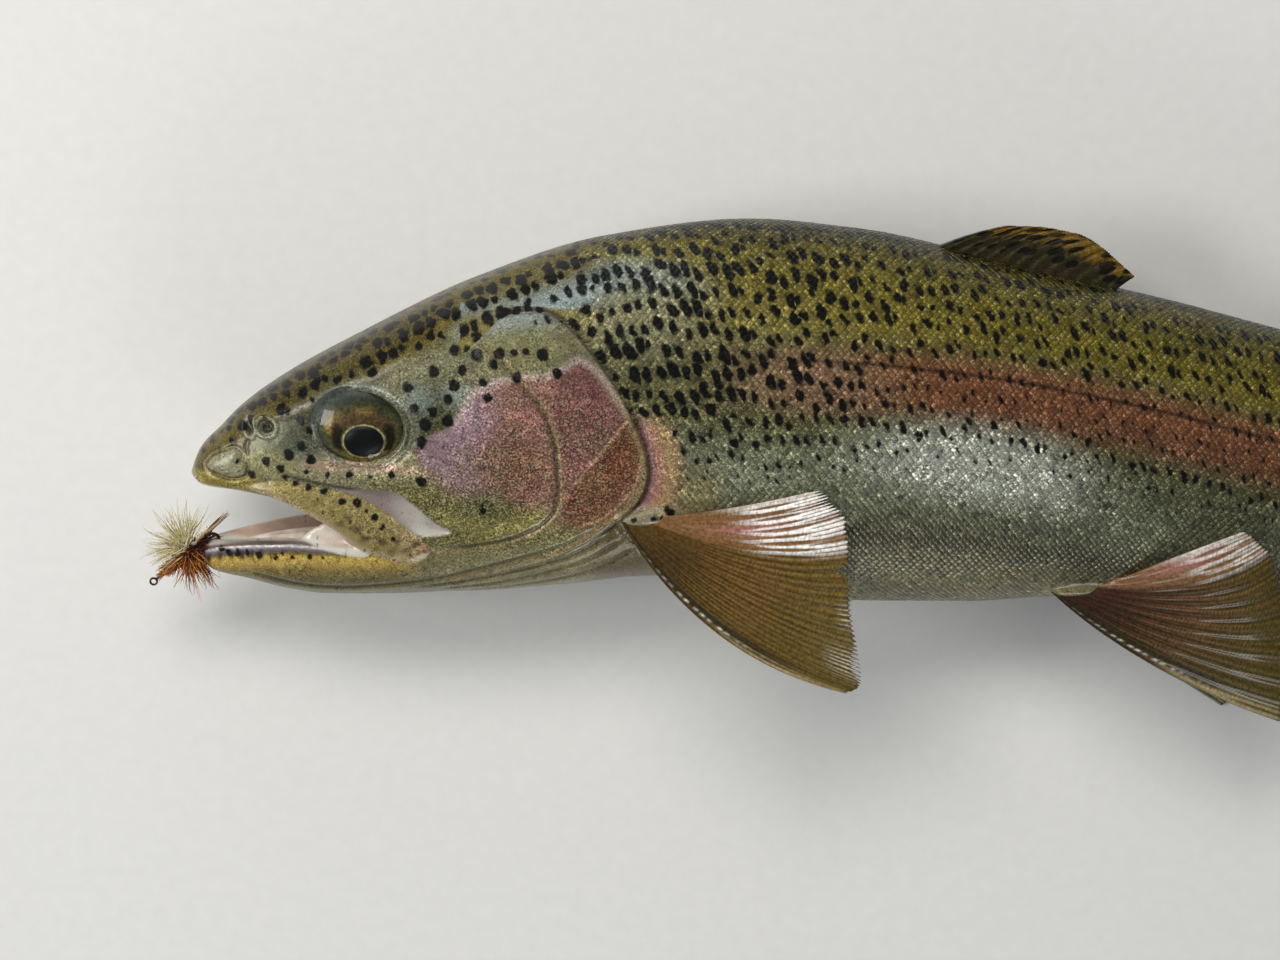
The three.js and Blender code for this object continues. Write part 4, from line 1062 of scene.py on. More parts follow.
def make_scales(finish):
    all_columns, all_x, all_heights = scale_roots()
    along, across = SCALE_ALONG, SCALE_ACROSS
    free = along == 1.0
    for part, first_column, end_column in zip(("front", "middle", "rear"), SCALES_SPLITS, SCALES_SPLITS[1:]):
        chosen = (all_columns >= first_column) & (all_columns < end_column)
        count = chosen.sum()
        x0 = (all_x[chosen] + RNG.normal(0, 0.05, count))[:, None, None]
        h0 = all_heights[chosen][:, None, None]
        lift = SCALE_LIFT * RNG.uniform(0.6, 1.35, count)[:, None, None]
        lift = lift * (0.45 + 0.55 * smooth(x0, 100, 165))
        tilt = RNG.normal(0, 0.03, count)[:, None, None]
        tone = RNG.normal(0, 1, count)[:, None, None]
        small = 1 - 0.3 * smooth(x0, 250, 340)
        x = x0 - small * (SCALE_REACH * (1 - along) + 0.42 * SCALE_LONG * across ** 2 * along)
        height = h0 + across * SCALE_WIDTH / 2 * (1 - 0.22 * along ** 2) + 0 * x
        rise = np.where(along == 0, -0.16, lift * (along - 0.5) / 0.44)
        rise = rise - 0.05 * across ** 2 * along + tilt * across * along
        rise = np.where(free, -0.06, rise) + 0 * x
        arc = lateral_arc(x.ravel()) - height.ravel()
        points = flank_point(x.ravel(), arc)
        normals = flank_normal(x.ravel(), arc)
        near_head = x.ravel() < HEAD_REACH
        points[near_head] += relief(points[near_head], normals[near_head])
        points += normals * rise.ravel()[:, None]

        rows, columns = SCALE_ALONG.size, SCALE_ACROSS.size
        first = np.arange(rows * columns).reshape(rows, columns)[:-1, :-1].ravel()
        quad = np.stack([first, first + 1, first + columns + 1, first + columns], axis=-1)
        quads = (quad[None] + rows * columns * np.arange(count)[:, None, None]).reshape(-1, 4)
        marks = markings(points)
        marks["rim"] = (0.5 * free + 0.22 * smooth(along, 0.72, 0.94) * ~free + 0 * x).ravel()
        # A painted glint across the middle of each scale.
        middle = bell(along - 0.66, 0.19) * (1 - across ** 2) * (1 + 0.4 * tone) + 0 * x
        marks["gleam"] = middle.ravel() * (0.95 + 1.4 * marks["gleam"])
        marks["tone"] = (tone + 0 * x).ravel()
        root_v = (lateral_arc(x0.ravel()) - h0.ravel())[:, None, None] / UNWRAP_TALL
        patch = np.stack([x0 / UNWRAP_LONG + (along - 0.5) * PATCH + 0 * x,
                          root_v + across * PATCH / 2 + 0 * x], axis=-1).reshape(-1, 2)
        for side, hand in (("left", 1), ("right", -1)):
            faces = quads[:, ::-hand]
            mesh = new_mesh(f"scales_{side}_{part}", settled(points * (1, 1, hand)), faces)
            store_marks(mesh, marks, hand)
            unwrap = mesh.uv_layers.new(name="OFBake")
            unwrap.data.foreach_set("uv", patch[faces.ravel()].astype(np.float32).ravel())
            piece(f"scales_{side}_{part}", mesh, finish)


# ---------------------------------------------------------------- eyes
PUPIL = np.array([39.1, 3.9])
IRIS_RADII = np.array([11.6, 9.7, 4.6])
PUPIL_SHARE = 0.36  # the pupil's edge, as a share of the eyeball's own half-axes
LENS_BULGE = 0.5


def iris_tones(ring, turn):
    """The colours of the eye by distance from the pupil, whose edge is 1, and by direction."""
    up, ahead = np.sin(turn), -np.cos(turn)
    zones = [(1.0, "#d2cda2"), (1.07, "#c6bd84"), (1.13, "#6b5a2c"), (1.5, "#6e6232"),
             (1.8, "#6c683e"), (2.15, "#465042"), (2.9, "#2f3833")]
    return lay(
        zones_along(ring, zones),
        "#6c4232", 0.7 * bell(ring - 1.3, 0.13) * smooth(up, -0.1, 0.6),
        "#8a5a50", 0.6 * bell(ring - 1.55, 0.06) * smooth(up, 0.1, 0.7),
        "#a4894a", 0.75 * bell(ring - 1.45, 0.26) * smooth(up, -0.3, -0.85),
        "#b39648", 0.7 * bell(ring - 1.6, 0.14) * bell(up - 0.99, 0.05) * (ahead < 0.2),
        "#c09a4e", 0.7 * bell(ring - 1.75, 0.18) * smooth(ahead, 0.55, 0.95) * (up > 0),
        "#100e0a", 0.92 * between(ring, 1.14, 1.22, 1.5, 1.75) * smooth(np.abs(ahead), 0.72, 0.92),
        "#1c2420", 0.75 * bell(ring - 2.05, 0.4) * smooth(up, 0.35, 0.95),
        "#7a6a38", 0.4 * bell(ring - 2.3, 0.3) * smooth(up, -0.2, -0.9),
        "#040404", smooth(ring, 1.03, 0.985))


def make_eyes():
    ball = Finish("eye_iris", IOR=1.36, Roughness=0.35)
    grain = ball.noise(ball.place(), 1700.0, 3.0)
    shade = ball.step(grain, 0.32, 0.68, 0.5, 1.5)
    ball.surface(Base_Color=ball.shaded(ball.stored("hide", "Color"), shade),
                 Metallic=ball.stored("shine"), Normal=ball.bump(grain, 0.0001, 0.3))
    glass = Finish("eye_cornea", IOR=1.34, Roughness=0.015, Transmission_Weight=1.0)
    glass.surface(Base_Color=glass.blend(glass.noise(glass.place(), 120.0), rgba("#f6fbf6"), rgba("#ffffff")))

    sides = 128
    turn = np.arange(sides) / sides * tau
    share = np.concatenate([np.linspace(0.01, PUPIL_SHARE * 0.99, 14),
                            np.linspace(PUPIL_SHARE * 1.01, 0.985, 46)])
    shift = smooth(share, 0.85, PUPIL_SHARE)[:, None]
    x, y = (EYE_CENTRE[k] + shift * (PUPIL[k] - EYE_CENTRE[k]) + np.outer(share, way(turn)) * IRIS_RADII[k]
            for k, way in enumerate((np.cos, np.sin)))
    depth = IRIS_RADII[2] * np.sqrt(np.maximum(1 - oval(x, y, EYE_CENTRE, IRIS_RADII) ** 2, 0.001))
    ring = (share / PUPIL_SHARE)[:, None] + 0 * x
    bulge = LENS_BULGE * np.sqrt(np.maximum(1 - ring ** 2, 0)) - 0.12 * bell(ring - 1.06, 0.05)
    top = np.stack([x, y, EYE_CENTRE[2] + depth + bulge], axis=-1)
    under = np.stack([x, y, EYE_CENTRE[2] - depth], axis=-1)[::-1]
    points = np.concatenate([top, under]).reshape(-1, 3)
    ring = np.concatenate([ring, np.full_like(ring, 3.0)]).ravel()
    turns = np.tile(turn, 2 * len(share))
    for side, hand in (("left", 1), ("right", -1)):
        faces = [face[::hand] for face in ring_faces(2 * len(share), sides)]
        placed = points * (1, 1, hand)
        mesh = new_mesh("eyeball_" + side, settled(placed), faces)
        store(mesh, "hide", iris_tones(ring, turns))
        store(mesh, "shine", 0.3 * between(ring, 1.0, 1.1, 1.9, 2.3))
        piece("eyeball_" + side, mesh, ball.material, ["eye_" + side])
        dome = ellipsoid("cornea", EYE_CENTRE * (1, 1, hand), EYE_RADII * 0.996, rows=64, sides=96)
        mesh = dome.data
        set_vertices(mesh, settled(vertices(mesh)))
        bpy.data.objects.remove(dome)
        piece("cornea_" + side, mesh, glass.material)


# ---------------------------------------------------------------- tongue
def make_tongue():
    f = Finish("mouth_lining", IOR=1.4, Coat_Weight=0.7, Coat_Roughness=0.08)
    grain = f.noise(f.place(), 1500.0, 3.0)
    tint = f.blend(f.step(f.noise(f.place(), 260.0, 2.0), 0.35, 0.65), rgba("#e6ddd0"), rgba("#cfb9aa"))
    f.surface(Base_Color=tint, Roughness=f.step(grain, 0.3, 0.7, 0.25, 0.45),
              Normal=f.bump(grain, 0.0002, 0.5))
    tongue = loft("tongue_flesh", TONGUE, np.linspace(9.5, 46, 100), 72)
    points = vertices(tongue.data)
    above = smooth(points[:, 1] - tongue_top(points[:, 0]), -1.8, -0.8)
    points[:, 1] -= above * 0.55 * bell(points[:, 2], 1.2) * smooth(points[:, 0], 15, 22)
    points[:, 1] += above * 0.12 * np.sin(points[:, 0] * 2.6) * bell(np.abs(points[:, 2]) - 3.4, 0.8)
    mesh = tongue.data
    set_vertices(mesh, settled(points))
    bpy.data.objects.remove(tongue)
    piece("tongue_flesh", mesh, f.material, ["tongue"])


class Strands:
    """Gathers many tapered tubes into one mesh."""

    def __init__(self, sides=6):
        self.sides = sides
        self.points, self.faces, self.tones = [], [], []

    def add(self, path, radii, tone="#ffffff"):
        path = np.array(path, float)
        run = np.gradient(path, axis=0)
        run /= np.linalg.norm(run, axis=1, keepdims=True)
        cross = np.cross(run, (0.31, 0.22, 0.92))
        cross /= np.linalg.norm(cross, axis=1, keepdims=True)
        other = np.cross(run, cross)
        turn = np.arange(self.sides) / self.sides * tau
        ring = (cross[:, None] * np.cos(turn)[None, :, None] + other[:, None] * np.sin(turn)[None, :, None])
        made = path[:, None] + ring * np.array(radii, float)[:, None, None]
        start = sum(len(part) for part in self.points)
        self.points.append(made.reshape(-1, 3))
        self.faces += [tuple(start + i for i in face[::-1]) for face in ring_faces(len(path), self.sides)]
        self.tones.append(np.tile(rgb(tone) if isinstance(tone, str) else tone, (len(path) * self.sides, 1)))

    def mesh(self, name):
        made = new_mesh(name, settled(np.concatenate(self.points)), self.faces)
        store(made, "hide", np.concatenate(self.tones))
        return made


# ---------------------------------------------------------------- fins
TAIL_PITCH = radians(-18)
TAIL_ROOT = (355.5, -33.5)


def tail_line(*places):
    """Points of the tail fin, each from its distance behind the stalk and over its middle ray."""
    along, up = np.array(places, float).T
    return np.column_stack([TAIL_ROOT[0] + along * cos(TAIL_PITCH) - up * sin(TAIL_PITCH),
                            TAIL_ROOT[1] + along * sin(TAIL_PITCH) + up * cos(TAIL_PITCH)])


# Each fin: its rays, its look, and the lines through its base, middle and margin, from the
# first ray to the last. A fin in the fish's own mid-plane has no z.
FINS = {
    "pectoral_fin_left": (14, "pectoral",
        [[94.6, -12.8, 19.6], [99, -13.4, 19.8], [104, -11.4, 20.4]],
        [[115.5, -37, 22.8], [121, -30, 24], [123.5, -19, 24], [120.5, -8.6, 22.4]],
        [[143.2, -49.8, 25], [146, -48.4, 25.6], [145.6, -40, 26.4], [143.6, -29, 26.6], [143.6, -19, 25.6],
         [141.6, -9.6, 24.2], [136.6, -4.8, 23.2]]),
    "pectoral_fin_right": (14, "pectoral",
        [[94.6, -12.8, -19.2], [99, -13.4, -19.2], [104, -12.4, -19.4]],
        [[114, -39, -20.6], [121, -33, -20.7], [125, -25, -20.7], [124, -18, -20.7]],
        [[140, -56, -20.8], [143.4, -54, -20.8], [146, -45, -20.8], [147.6, -35, -20.8], [146, -26, -20.8],
         [141, -21, -20.8]]),
    "pelvic_fin_left": (10, "pelvic",
        [[188, -31.2, 9.4], [194, -31.4, 10], [201, -29.6, 11.4]],
        [[211, -47.4, 13.6], [219, -40, 16.6], [221, -30, 18.8], [216, -20.6, 20]],
        [[240.2, -61.6, 13], [241.2, -51, 16], [239.6, -38, 18.6], [237, -27, 20], [234, -19.6, 20.6],
         [229, -15.6, 20.4]]),
    "pelvic_fin_right": (10, "pelvic",
        [[188, -31.2, -9.4], [194, -31.8, -9.6], [200, -31.4, -9.8]],
        [[208, -51, -15], [217, -47, -17.6], [222, -40, -18.4]],
        [[232, -69, -19.6], [240, -63, -19.6], [244, -53, -19.4], [243, -44, -19]]),
    "dorsal_fin": (12, "dorsal",
        [[161.5, 42.6], [181, 37.8], [201, 33]],
        [[170, 46], [187, 43], [203.6, 35]],
        [[177.5, 48], [187, 47.4], [195, 45.4], [200.4, 41.6], [206, 36.4]]),
    "adipose_fin": (0, "fleshy", [[297, 5], [307, 1.6]], [[303, 10.8], [311, 3.6]],
                    [[311, 14], [316.5, 12.4], [316.5, 6.4]]),
    "anal_fin": (11, "anal",
        [[262, -38.8], [280, -40], [298, -41.2]],
        [[274, -56], [287, -52], [303, -47]],
        [[288, -70.6], [294, -70], [300, -63], [306, -56], [310, -52.6]]),
    "caudal_fin": (19, "tail",
        tail_line((-1, -17.6), (0, 0), (-1, 17.6)),
        tail_line((24, -29), (19, 0), (24, 29)),
        tail_line((50, -46), (53, -42), (43, -22), (38, 0), (43, 22), (53, 42), (50, 46))),
}
FIN_ROOT_HALF = 0.95  # half-thickness at the base
FIN_EDGE_HALF = 0.11  # and of the membrane at the margin
RAY_HEIGHT = 0.2
FIN_SPOT_LONG, FIN_SPOT_TALL = 2.6, 4.6  # spacing of a fin's spots across its rays and along them
# The spots on a fin: their size, and where they start and are whole, from base to margin.
FIN_SPOTS = {"dorsal": (0.36, 0.15, 0.4), "fleshy": (0.2, 0.3, 0.5), "tail": (0.36, 0.06, 0.2)}
NO_SPOTS = (-1.0, -2.0, -1.0)
# The tears in the pectoral fins' margin: depth, place from the first ray to the last, and width.
FIN_TEARS = ((0.07, 0.83, 0.008), (0.07, 0.915, 0.008), (0.1, 0.62, 0.02), (0.04, 0.26, 0.06))
BRANCHES = ((0.4, 0.62, 0.25), (0.68, 0.88, 0.125))  # where rays fork, and how far the forks part


def ray_ridges(phase, v):
    """How near a ray or one of its forks lies, 1 on its middle."""
    offset = phase - np.floor(phase) - 0.5
    forks = [far * smooth(v, start, end) for start, end, far in BRANCHES]
    width = 0.2 - 0.09 * smooth(v, 0.35, 0.7) - 0.045 * smooth(v, 0.7, 0.95)
    return np.max([bell(offset - first * forks[0] - second * forks[1], width)
                   for first in (-1, 1) for second in (-1, 1)], axis=0)


def paired_fin_tones(front, u, v, ridge):
    """The colours of a pectoral or, where front is 0, of a pelvic fin."""
    fine = np.sin(u * 190 + 1.6 * np.sin(v * 4 + u * 9))
    worn = bell(u - 0.26, 0.06) * smooth(v, 0.84, 0.94) + 0.7 * bell(u - 0.45, 0.05) * smooth(v, 0.9, 0.97)
    pale = smooth(u, 0.66, 0.72) if front else smooth(u, 0.74, 0.82)
    blush = bell(u - (0.84 if front else 0.93), 0.05) * bell(v - 0.5, 0.22)
    # Painted highlights on the pale upper rays.
    painted_ray_highlight = smooth(ridge * np.abs(np.sin(pi * (u - 0.74) / 0.087)) ** 0.5, 0.12, 0.5)
    # Painted wet glints in a beaded row along the leading ray.
    painted_bead_glints = smooth(np.sin(v * 170), 0.1, 0.7) * bell(v - 0.4, 0.2) * bell(u - 0.045, 0.009)
    base, web, hem, bone, thread = (
        ("#523b10", "#523f0e", "#514a0f", "#7c6038", "#7e6828") if front else
        ("#34190a", "#40370e", "#41400c", "#6a5226", "#6c5428"))
    return lay(
        np.tile(rgb(base), (len(u), 1)),
        web, smooth(v, 0.25, 0.8),
        hem, 0.6 * smooth(v, 0.5, 1.0) * smooth(u, 0.6, 0.3),
        bone, 0.45 * ridge * smooth(v, 0.1, 0.6),
        "#84482e", 0.4 * bell(v - 0.45, 0.25) * bell(u - 0.5, 0.3) * ridge,
        "#1e180c", 0.6 * bell(v - 0.2, 0.14) * smooth(u, 0.6, 0.4) * (1 - ridge),
        thread, 0.45 * smooth(fine, 0.1, 0.9) * smooth(v, 0.12, 0.45),
        "#2e240c", 0.4 * smooth(-fine, 0.1, 0.9) * smooth(v, 0.05, 0.3) * (1 - 0.6 * smooth(v, 0.6, 0.9)),
        "#e6e1d2", 0.8 * front * worn * smooth(ridge, 0.35, 0.8),
        "#86603a", 0.7 * pale,
        "#a8706a", 0.75 * pale * blush,
        "#fffdf8", (1 if front else 0.6) * pale * smooth(v, 0.36, 0.66) * painted_ray_highlight,
        "#ddd2c4", 0.8 * smooth(u, 0.965, 0.99) * smooth(v, 0.2, 0.6),
        "#2a2410", 0.9 * bell(u - 0.07, 0.04) * smooth(v, 0.95, 0.6),
        "#b3a276", 0.8 * smooth(u, 0.075, 0.035) * ridge * smooth(v, 0.4, 0.7),
        "#f4f2ea", 0.9 * painted_bead_glints)


def fin_tones(look, u, v, ridge):
    """The colours of a fin from its first ray to its last, u, and from its base to its margin, v."""
    if look in ("pectoral", "pelvic"):
        return paired_fin_tones(int(look == "pectoral"), u, v, ridge)
    base, *coats = {
        "dorsal": ("#241f0c", "#6e5312", smooth(v, 0.5, 0.75), "#6f6334", 0.2 * ridge),
        "fleshy": ("#565022", "#6a6030", smooth(v, 0.2, 0.6),
                   "#191709", 0.85 * np.maximum(smooth(v, 0.84, 0.97), smooth(u, 0.94, 1.0))),
        "anal": ("#56431e", "#6b5a2c", smooth(v, 0.3, 0.9), "#8d7a4c", 0.45 * ridge,
                 "#d2c7ae", 0.85 * smooth(u, 0.12, 0.04) * smooth(v, 0.2, 0.7)),
        "tail": ("#4a431c", "#5e5428", smooth(v, 0.2, 0.8), "#857847", 0.45 * ridge * smooth(v, 0.05, 0.4),
                 "#2b2712", 0.6 * smooth(v, 0.93, 1.0)),
    }[look]
    return lay(np.tile(rgb(base), (len(u), 1)), *coats)


def fin_finish():
    """Wet membrane over jointed rays, with a field of dark spots where a fin has them."""
    f = Finish("trout_fin", IOR=1.38, Coat_Weight=0.26, Coat_Roughness=0.14)
    grain = f.noise(f.place(), 1300.0, 3.0)
    tint = f.shaded(f.stored("hide", "Color"),
                    f.step(grain, 0.3, 0.7, 0.7, 1.3), f.step(grain, 0.3, 0.7, 0.72, 1.28))
    field = f.node("Mapping", {"Vector": f.stored("chart", "Vector"),
                               "Scale": (1 / FIN_SPOT_LONG, 1 / FIN_SPOT_TALL, 1.0)})
    spots = f.step(f.less(f.cells(field, "Distance"), f.stored("spot")), 0.05, -0.05)
    ridge, length, _ = f.parts(f.stored("ray", "Vector"))
    joints = f.times(f.step(f.math("SINE", f.times(length, 7.5)), 0.2, 0.9), ridge)
    return f.surface(Base_Color=f.blend(f.times(spots, 0.92), tint, rgba(DARK)), Metallic=f.stored("shine"),
                     Roughness=f.step(grain, 0.2, 0.8, 0.24, 0.46),
                     Normal=f.bump(grain, 0.0001, 0.3, f.bump(joints, 0.00012, 0.6)))


def make_fin(name, finish, rays, look, base, middle, margin):
    columns = max(rays, 5) * (12 if rays > 15 else 16) + 1
    rows = 30 if look == "fleshy" else 66
    u = np.linspace(0, 1, columns)[:, None]
    v = np.linspace(0, 1, rows)[None, :]
    phase = u * max(rays, 1)
    ridge = ray_ridges(phase, v) if rays else 0 * u * v
    tips = ray_ridges(phase, 1 + 0 * v) if rays else 1 + 0 * u * v
    ragged = RNG.normal(0, 0.006, max(rays, 1) + 1)[np.floor(phase).astype(int)]
    ragged = ragged * (rays > 0) * smooth(u, 0.2, 0.4)
    torn = 0.004 + 0.012 * smooth(u, 0.15, 0.35)
    if look == "pectoral":
        torn = torn + 0.05 * smooth(u, 0.8, 0.95)
        for depth, middle_ray, width in FIN_TEARS:
            torn = torn + depth * bell(u - middle_ray, width)
    reach = v * (1 - (torn * (1 - tips) + ragged) * smooth(v, 0.7, 1.0))
    lines = [line_through([(*point, 0.0)[:3] for point in line])(u[:, 0])[:, None]
             for line in (base, middle, margin)]
    w = reach[..., None]
    sheet = lines[0] * (1 - w) * (1 - 2 * w) + lines[1] * 4 * w * (1 - w) + lines[2] * w * (2 * w - 1)
    over = np.gradient(sheet, axis=0)
    out = np.gradient(sheet, axis=1)
    normal = np.cross(over, out)
    normal /= np.maximum(np.linalg.norm(normal, axis=-1, keepdims=True), 1e-9)
    normal *= np.sign(normal[..., 2].mean())

    half = FIN_EDGE_HALF + (FIN_ROOT_HALF - FIN_EDGE_HALF) * (1 - v) ** 1.5
    half = half + ridge * RAY_HEIGHT * (1 - 0.55 * v) * smooth(v, 0.02, 0.2)
    if rays:
        half = half + 0.3 * smooth(u, 1.2 / rays, 0.2 / rays) * (1 - 0.6 * v)
        folds = 0.16 * np.cos(tau * phase) + 0.35 * np.sin(u * 9 + 2 * v) * v
        sheet = sheet + normal * (folds * smooth(v, 0.1, 0.8))[..., None]
    else:
        half = 1.25 * np.sqrt(np.maximum(1 - v ** 3, 0.02)) * (0.35 + 0.65 * np.sin(pi * (0.08 + 0.84 * u)))
    lowest = FIN_GAP - LIE_HEIGHT - sag(sheet[..., 0]) + half
    sheet[..., 2] = np.maximum(sheet[..., 2], lowest)
    length = np.cumsum(np.linalg.norm(np.diff(sheet, axis=1, prepend=sheet[:, :1]), axis=-1), axis=1)
    points, faces = plate(sheet + normal * half[..., None], sheet - normal * half[..., None])
    if np.cross(over, out)[columns // 2, rows // 2, 2] > 0:
        faces = faces[:, ::-1]
    mesh = new_mesh(name + "_rays", settled(points), faces)
    u, v, ridge, length, phase = (np.tile((part + 0 * sheet[..., 0]).ravel(), 2)
                                  for part in (u, v, ridge, length, phase))
    store(mesh, "hide", fin_tones(look, u, v, ridge))
    store(mesh, "ray", np.stack([ridge, length, phase], axis=-1))
    chart = np.stack([phase * FIN_SPOT_LONG, length, 0 * u], axis=-1)
    store(mesh, "chart", points * (1, 1, 0) if look == "tail" else chart)
    size, start, full = FIN_SPOTS.get(look, NO_SPOTS)
    store(mesh, "spot", size * smooth(v, start, full))
    store(mesh, "shine", 0.12 * ridge)
    piece(name + "_rays", mesh, finish, [name])


# ---------------------------------------------------------------- the fly
HOOK_PATH = [[-8.4, -31.6, 1.5], [-3.5, -27.2, 1.8], [0.6, -23.4, 2], [2.6, -21.7, 1.6], [4.4, -21.2, 1],
             [5.5, -22, 0.6], [5.7, -23.6, 0.3]]
HOOK_RADIUS = 0.36
FLY_HEART = np.array([-1.6, -24.4, 2.0])  # where the hackle is wound
FLY_BODY = np.array([-7.2, -30.4, 1.6]), np.array([2.9, -22.4, 1.7])
STRAW = ["#d8cfa0", "#c9bf8c", "#e0d9b4", "#b8ae7c", "#cfc49a", "#a98f58"]
RUST = ["#8a4a12", "#a35c18", "#6f3a10", "#b8722a", "#4f2a10", "#97641f"]
MIXED = ["#b39a6a", "#5a3a1e", "#e2d6b4"]
BODY_RED = ["#5a1f14", "#3f1710", "#6b2c1a", "#2c120c"]
BODY_GOLD = ["#a8601a", "#8a4a14", "#c07c2c", "#6a3812"]


def fibre(strands, root, tip, bow, radius, tone):
    """A hair from root to tip that bows sideways and thins to nothing."""
    root, tip = np.array(root, float), np.array(tip, float)
    t = np.linspace(0, 1, 8)[:, None]
    path = root + (tip - root) * t + np.array(bow, float) * np.sin(pi * t * 0.9) * t
    strands.add(path, radius * (1 - 0.85 * t[:, 0] ** 1.3), tone)


def make_fly():
    wire = Finish("hook_wire", Roughness=0.28, Metallic=1.0, Coat_Weight=0.3)
    wire.surface(Base_Color=wire.blend(wire.step(wire.noise(wire.place(), 700.0), 0.3, 0.7),
                                       rgba("#3a2c1c"), rgba("#6b5334")))
    hook = Strands(sides=16)
    t = np.linspace(0, 1, 90)
    hook.add(line_through(HOOK_PATH)(t), HOOK_RADIUS * (1 - 0.9 * smooth(t, 0.9, 1.0)))
    turn = np.linspace(0, tau, 28)
    ring = np.stack([0.75 * np.cos(turn) - 0.6, 0.75 * np.sin(turn) - 0.5, 0 * turn], axis=-1)
    hook.add(np.array(HOOK_PATH[0]) + ring, np.full(28, 0.24))
    piece("hook_wire", hook.mesh("hook_wire"), wire.material, ["fly_hook"])

    f = Finish("fly_fibres", Roughness=0.55, IOR=1.5)
    grain = f.noise(f.place(), 2200.0, 2.0)
    shade = f.step(grain, 0.3, 0.7, 0.75, 1.25)
    f.surface(Base_Color=f.shaded(f.stored("hide", "Color"), shade), Normal=f.bump(grain, 0.0001, 0.4))
    hackle = Strands(sides=5)
    for _ in range(150):
        turn = radians(RNG.uniform(52, 200) if RNG.uniform() < 0.8 else RNG.uniform(180, 225))
        spread = RNG.normal(0, 0.34)
        reach = RNG.uniform(7.0, 11.5) * (1.0 if turn < radians(150) else 0.85)
        away = np.array([cos(turn), sin(turn), spread])
        away = away / np.linalg.norm(away)
        root = FLY_HEART + (RNG.uniform(-1.4, 1.2), RNG.uniform(-0.6, 0.9), RNG.uniform(-0.8, 0.8))
        bow = np.array([-sin(turn), cos(turn), RNG.normal(0, 0.5)]) * RNG.normal(0, 0.8)
        fibre(hackle, root, root + away * reach, bow, RNG.uniform(0.11, 0.17), RNG.choice(STRAW))
    for _ in range(150):
        turn = radians(RNG.normal(291, 15) if RNG.uniform() < 0.75 else RNG.uniform(236, 318))
        away = np.array([cos(turn), sin(turn), RNG.normal(0, 0.28)])
        root = FLY_HEART + (RNG.uniform(-0.6, 2.6), RNG.uniform(-1.4, 0.6), RNG.uniform(-0.9, 0.9))
        bow = np.array([-sin(turn), cos(turn), RNG.normal(0, 0.6)]) * RNG.normal(0, 0.9)
        fibre(hackle, root, root + away * RNG.uniform(4.0, 10.0), bow, RNG.uniform(0.12, 0.24),
              RNG.choice(RUST))
    for _ in range(14):
        fibre(hackle, (-0.4 + RNG.normal(0, 0.3), -23.2 + RNG.normal(0, 0.3), 2.6),
              (7.8 + RNG.normal(0, 0.5), -16.4 + RNG.normal(0, 0.4), 1.8),
              (RNG.normal(0, 0.3), 0.5, RNG.normal(0, 0.3)), 0.24, RNG.choice(MIXED))
    piece("fly_hackle", hackle.mesh("fly_hackle"), f.material, ["fly_dressing"])

    body = Strands(sides=6)
    start, end = FLY_BODY
    for _ in range(560):
        along = RNG.uniform(0, 1)
        thick = 0.5 + 1.5 * sin(pi * min(along * 0.8, 1)) ** 0.8
        turn = RNG.uniform(0, tau)
        side = np.array([cos(turn) * 0.68, -cos(turn) * 0.73, sin(turn)])
        run = (end - start) / np.linalg.norm(end - start)
        root = start + (end - start) * along + side * thick * 0.35
        tip = root + side * thick * RNG.uniform(0.5, 1.1) + run * RNG.normal(0, 1.3)
        colours = BODY_RED if along > RNG.normal(0.56, 0.07) else BODY_GOLD
        fibre(body, root, tip, run * RNG.normal(0, 0.5), RNG.uniform(0.16, 0.3), RNG.choice(colours))
    piece("fly_body", body.mesh("fly_body"), f.material)


# ---------------------------------------------------------------- stage
# The camera stands over the back's side of the fish and looks down at it, 16 degrees off plumb.
CAMERA_TILT = radians(16)
CAMERA_AWAY = 850.0
CAMERA_AIM = np.array([98.6, -9.2, 0.0])
VIEW_WIDTH_AT_AIM = 281.6  # millimetres across the whole picture, at the aim
SENSOR = 36.0
FLOOR_HALF, FLOOR_TOP = 2.5, -0.0002  # metres, as are the lamps' places and sizes
LAMP_AIM = Vector((-0.06, 0.0, 0.02))
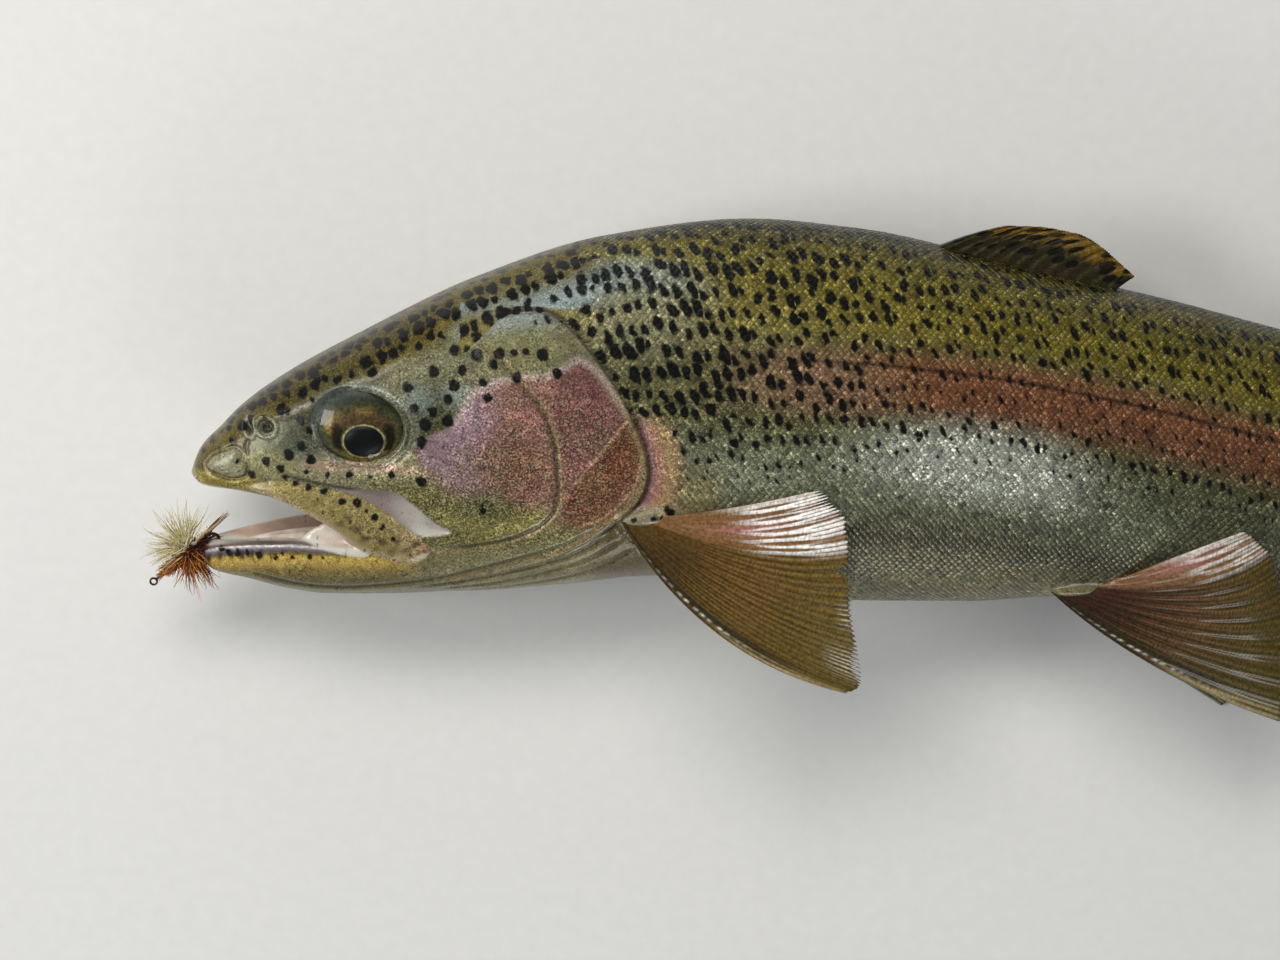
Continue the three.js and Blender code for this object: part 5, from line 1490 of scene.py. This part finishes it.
# Each lamp: its place, its size, its watts and its colour.
LAMPS = {
    "key": ((-0.38, 0.84, 0.9), (0.95, 0.36), 8.0, (1, 0.98, 0.94)),
    "key_shine": ((-0.38, 0.84, 0.9), (0.95, 0.36), 3.4, (1, 0.98, 0.94)),
    "back_soft": ((-0.1, 1.3, 0.5), (0.35, 0.35), 0.9, (0.7, 0.87, 1)),
    "front": ((-1.1, 0.12, 0.75), (0.55, 0.5), 6.8, (1, 0.99, 0.97)),
    "fill": ((0.05, -0.9, 0.42), (0.4, 0.3), 2.3, (0.92, 0.97, 1)),
}


def make_stage():
    plain = Finish("floor_paper", Roughness=0.75)
    corners = [(FLOOR_HALF * a, FLOOR_HALF * b, FLOOR_TOP) for a, b in ((-1, -1), (1, -1), (1, 1), (-1, 1))]
    mesh = new_mesh("floor", corners, [(0, 1, 2, 3)])
    mesh.materials.append(plain.surface(
        Base_Color=plain.blend(plain.noise(plain.place(), 300.0), rgba("#e0dfdc"), rgba("#e8e7e4"))))
    new_object("floor", mesh)

    lens = bpy.data.cameras.new("camera")
    lens.sensor_width = SENSOR
    lens.lens = SENSOR * CAMERA_AWAY / VIEW_WIDTH_AT_AIM
    lens.clip_end = 20
    camera = new_object("camera", lens)
    lean = np.array([0, sin(CAMERA_TILT), cos(CAMERA_TILT)]) * CAMERA_AWAY
    camera.location = (CAMERA_AIM + lean + ORIGIN) / 1000
    camera.rotation_euler = (-CAMERA_TILT, 0, 0)
    bpy.context.scene.camera = camera

    world = bpy.data.worlds.new("studio")
    world.use_nodes = True
    world.node_tree.nodes["Background"].inputs["Color"].default_value = (0.88, 0.93, 1.0, 1)
    world.node_tree.nodes["Background"].inputs["Strength"].default_value = 0.15
    bpy.context.scene.world = world
    bpy.context.scene.view_settings.view_transform = "Standard"
    for name, (place, size, power, tint) in LAMPS.items():
        light = bpy.data.lights.new(name, "AREA")
        light.shape = "RECTANGLE"
        light.size, light.size_y = size
        light.energy = power
        light.color = tint
        lamp = new_object(name, light)
        lamp.location = place
        lamp.visible_glossy = name != "key"
        lamp.rotation_euler = (LAMP_AIM - lamp.location).to_track_quat("-Z", "Y").to_euler()


make_stage()
trout_skin = skin_finish()
make_skin(trout_skin)
make_scales(trout_skin)
make_eyes()
make_tongue()
trout_fin = fin_finish()
for fin_name, fin_form in FINS.items():
    make_fin(fin_name, trout_fin, *fin_form)
make_fly()
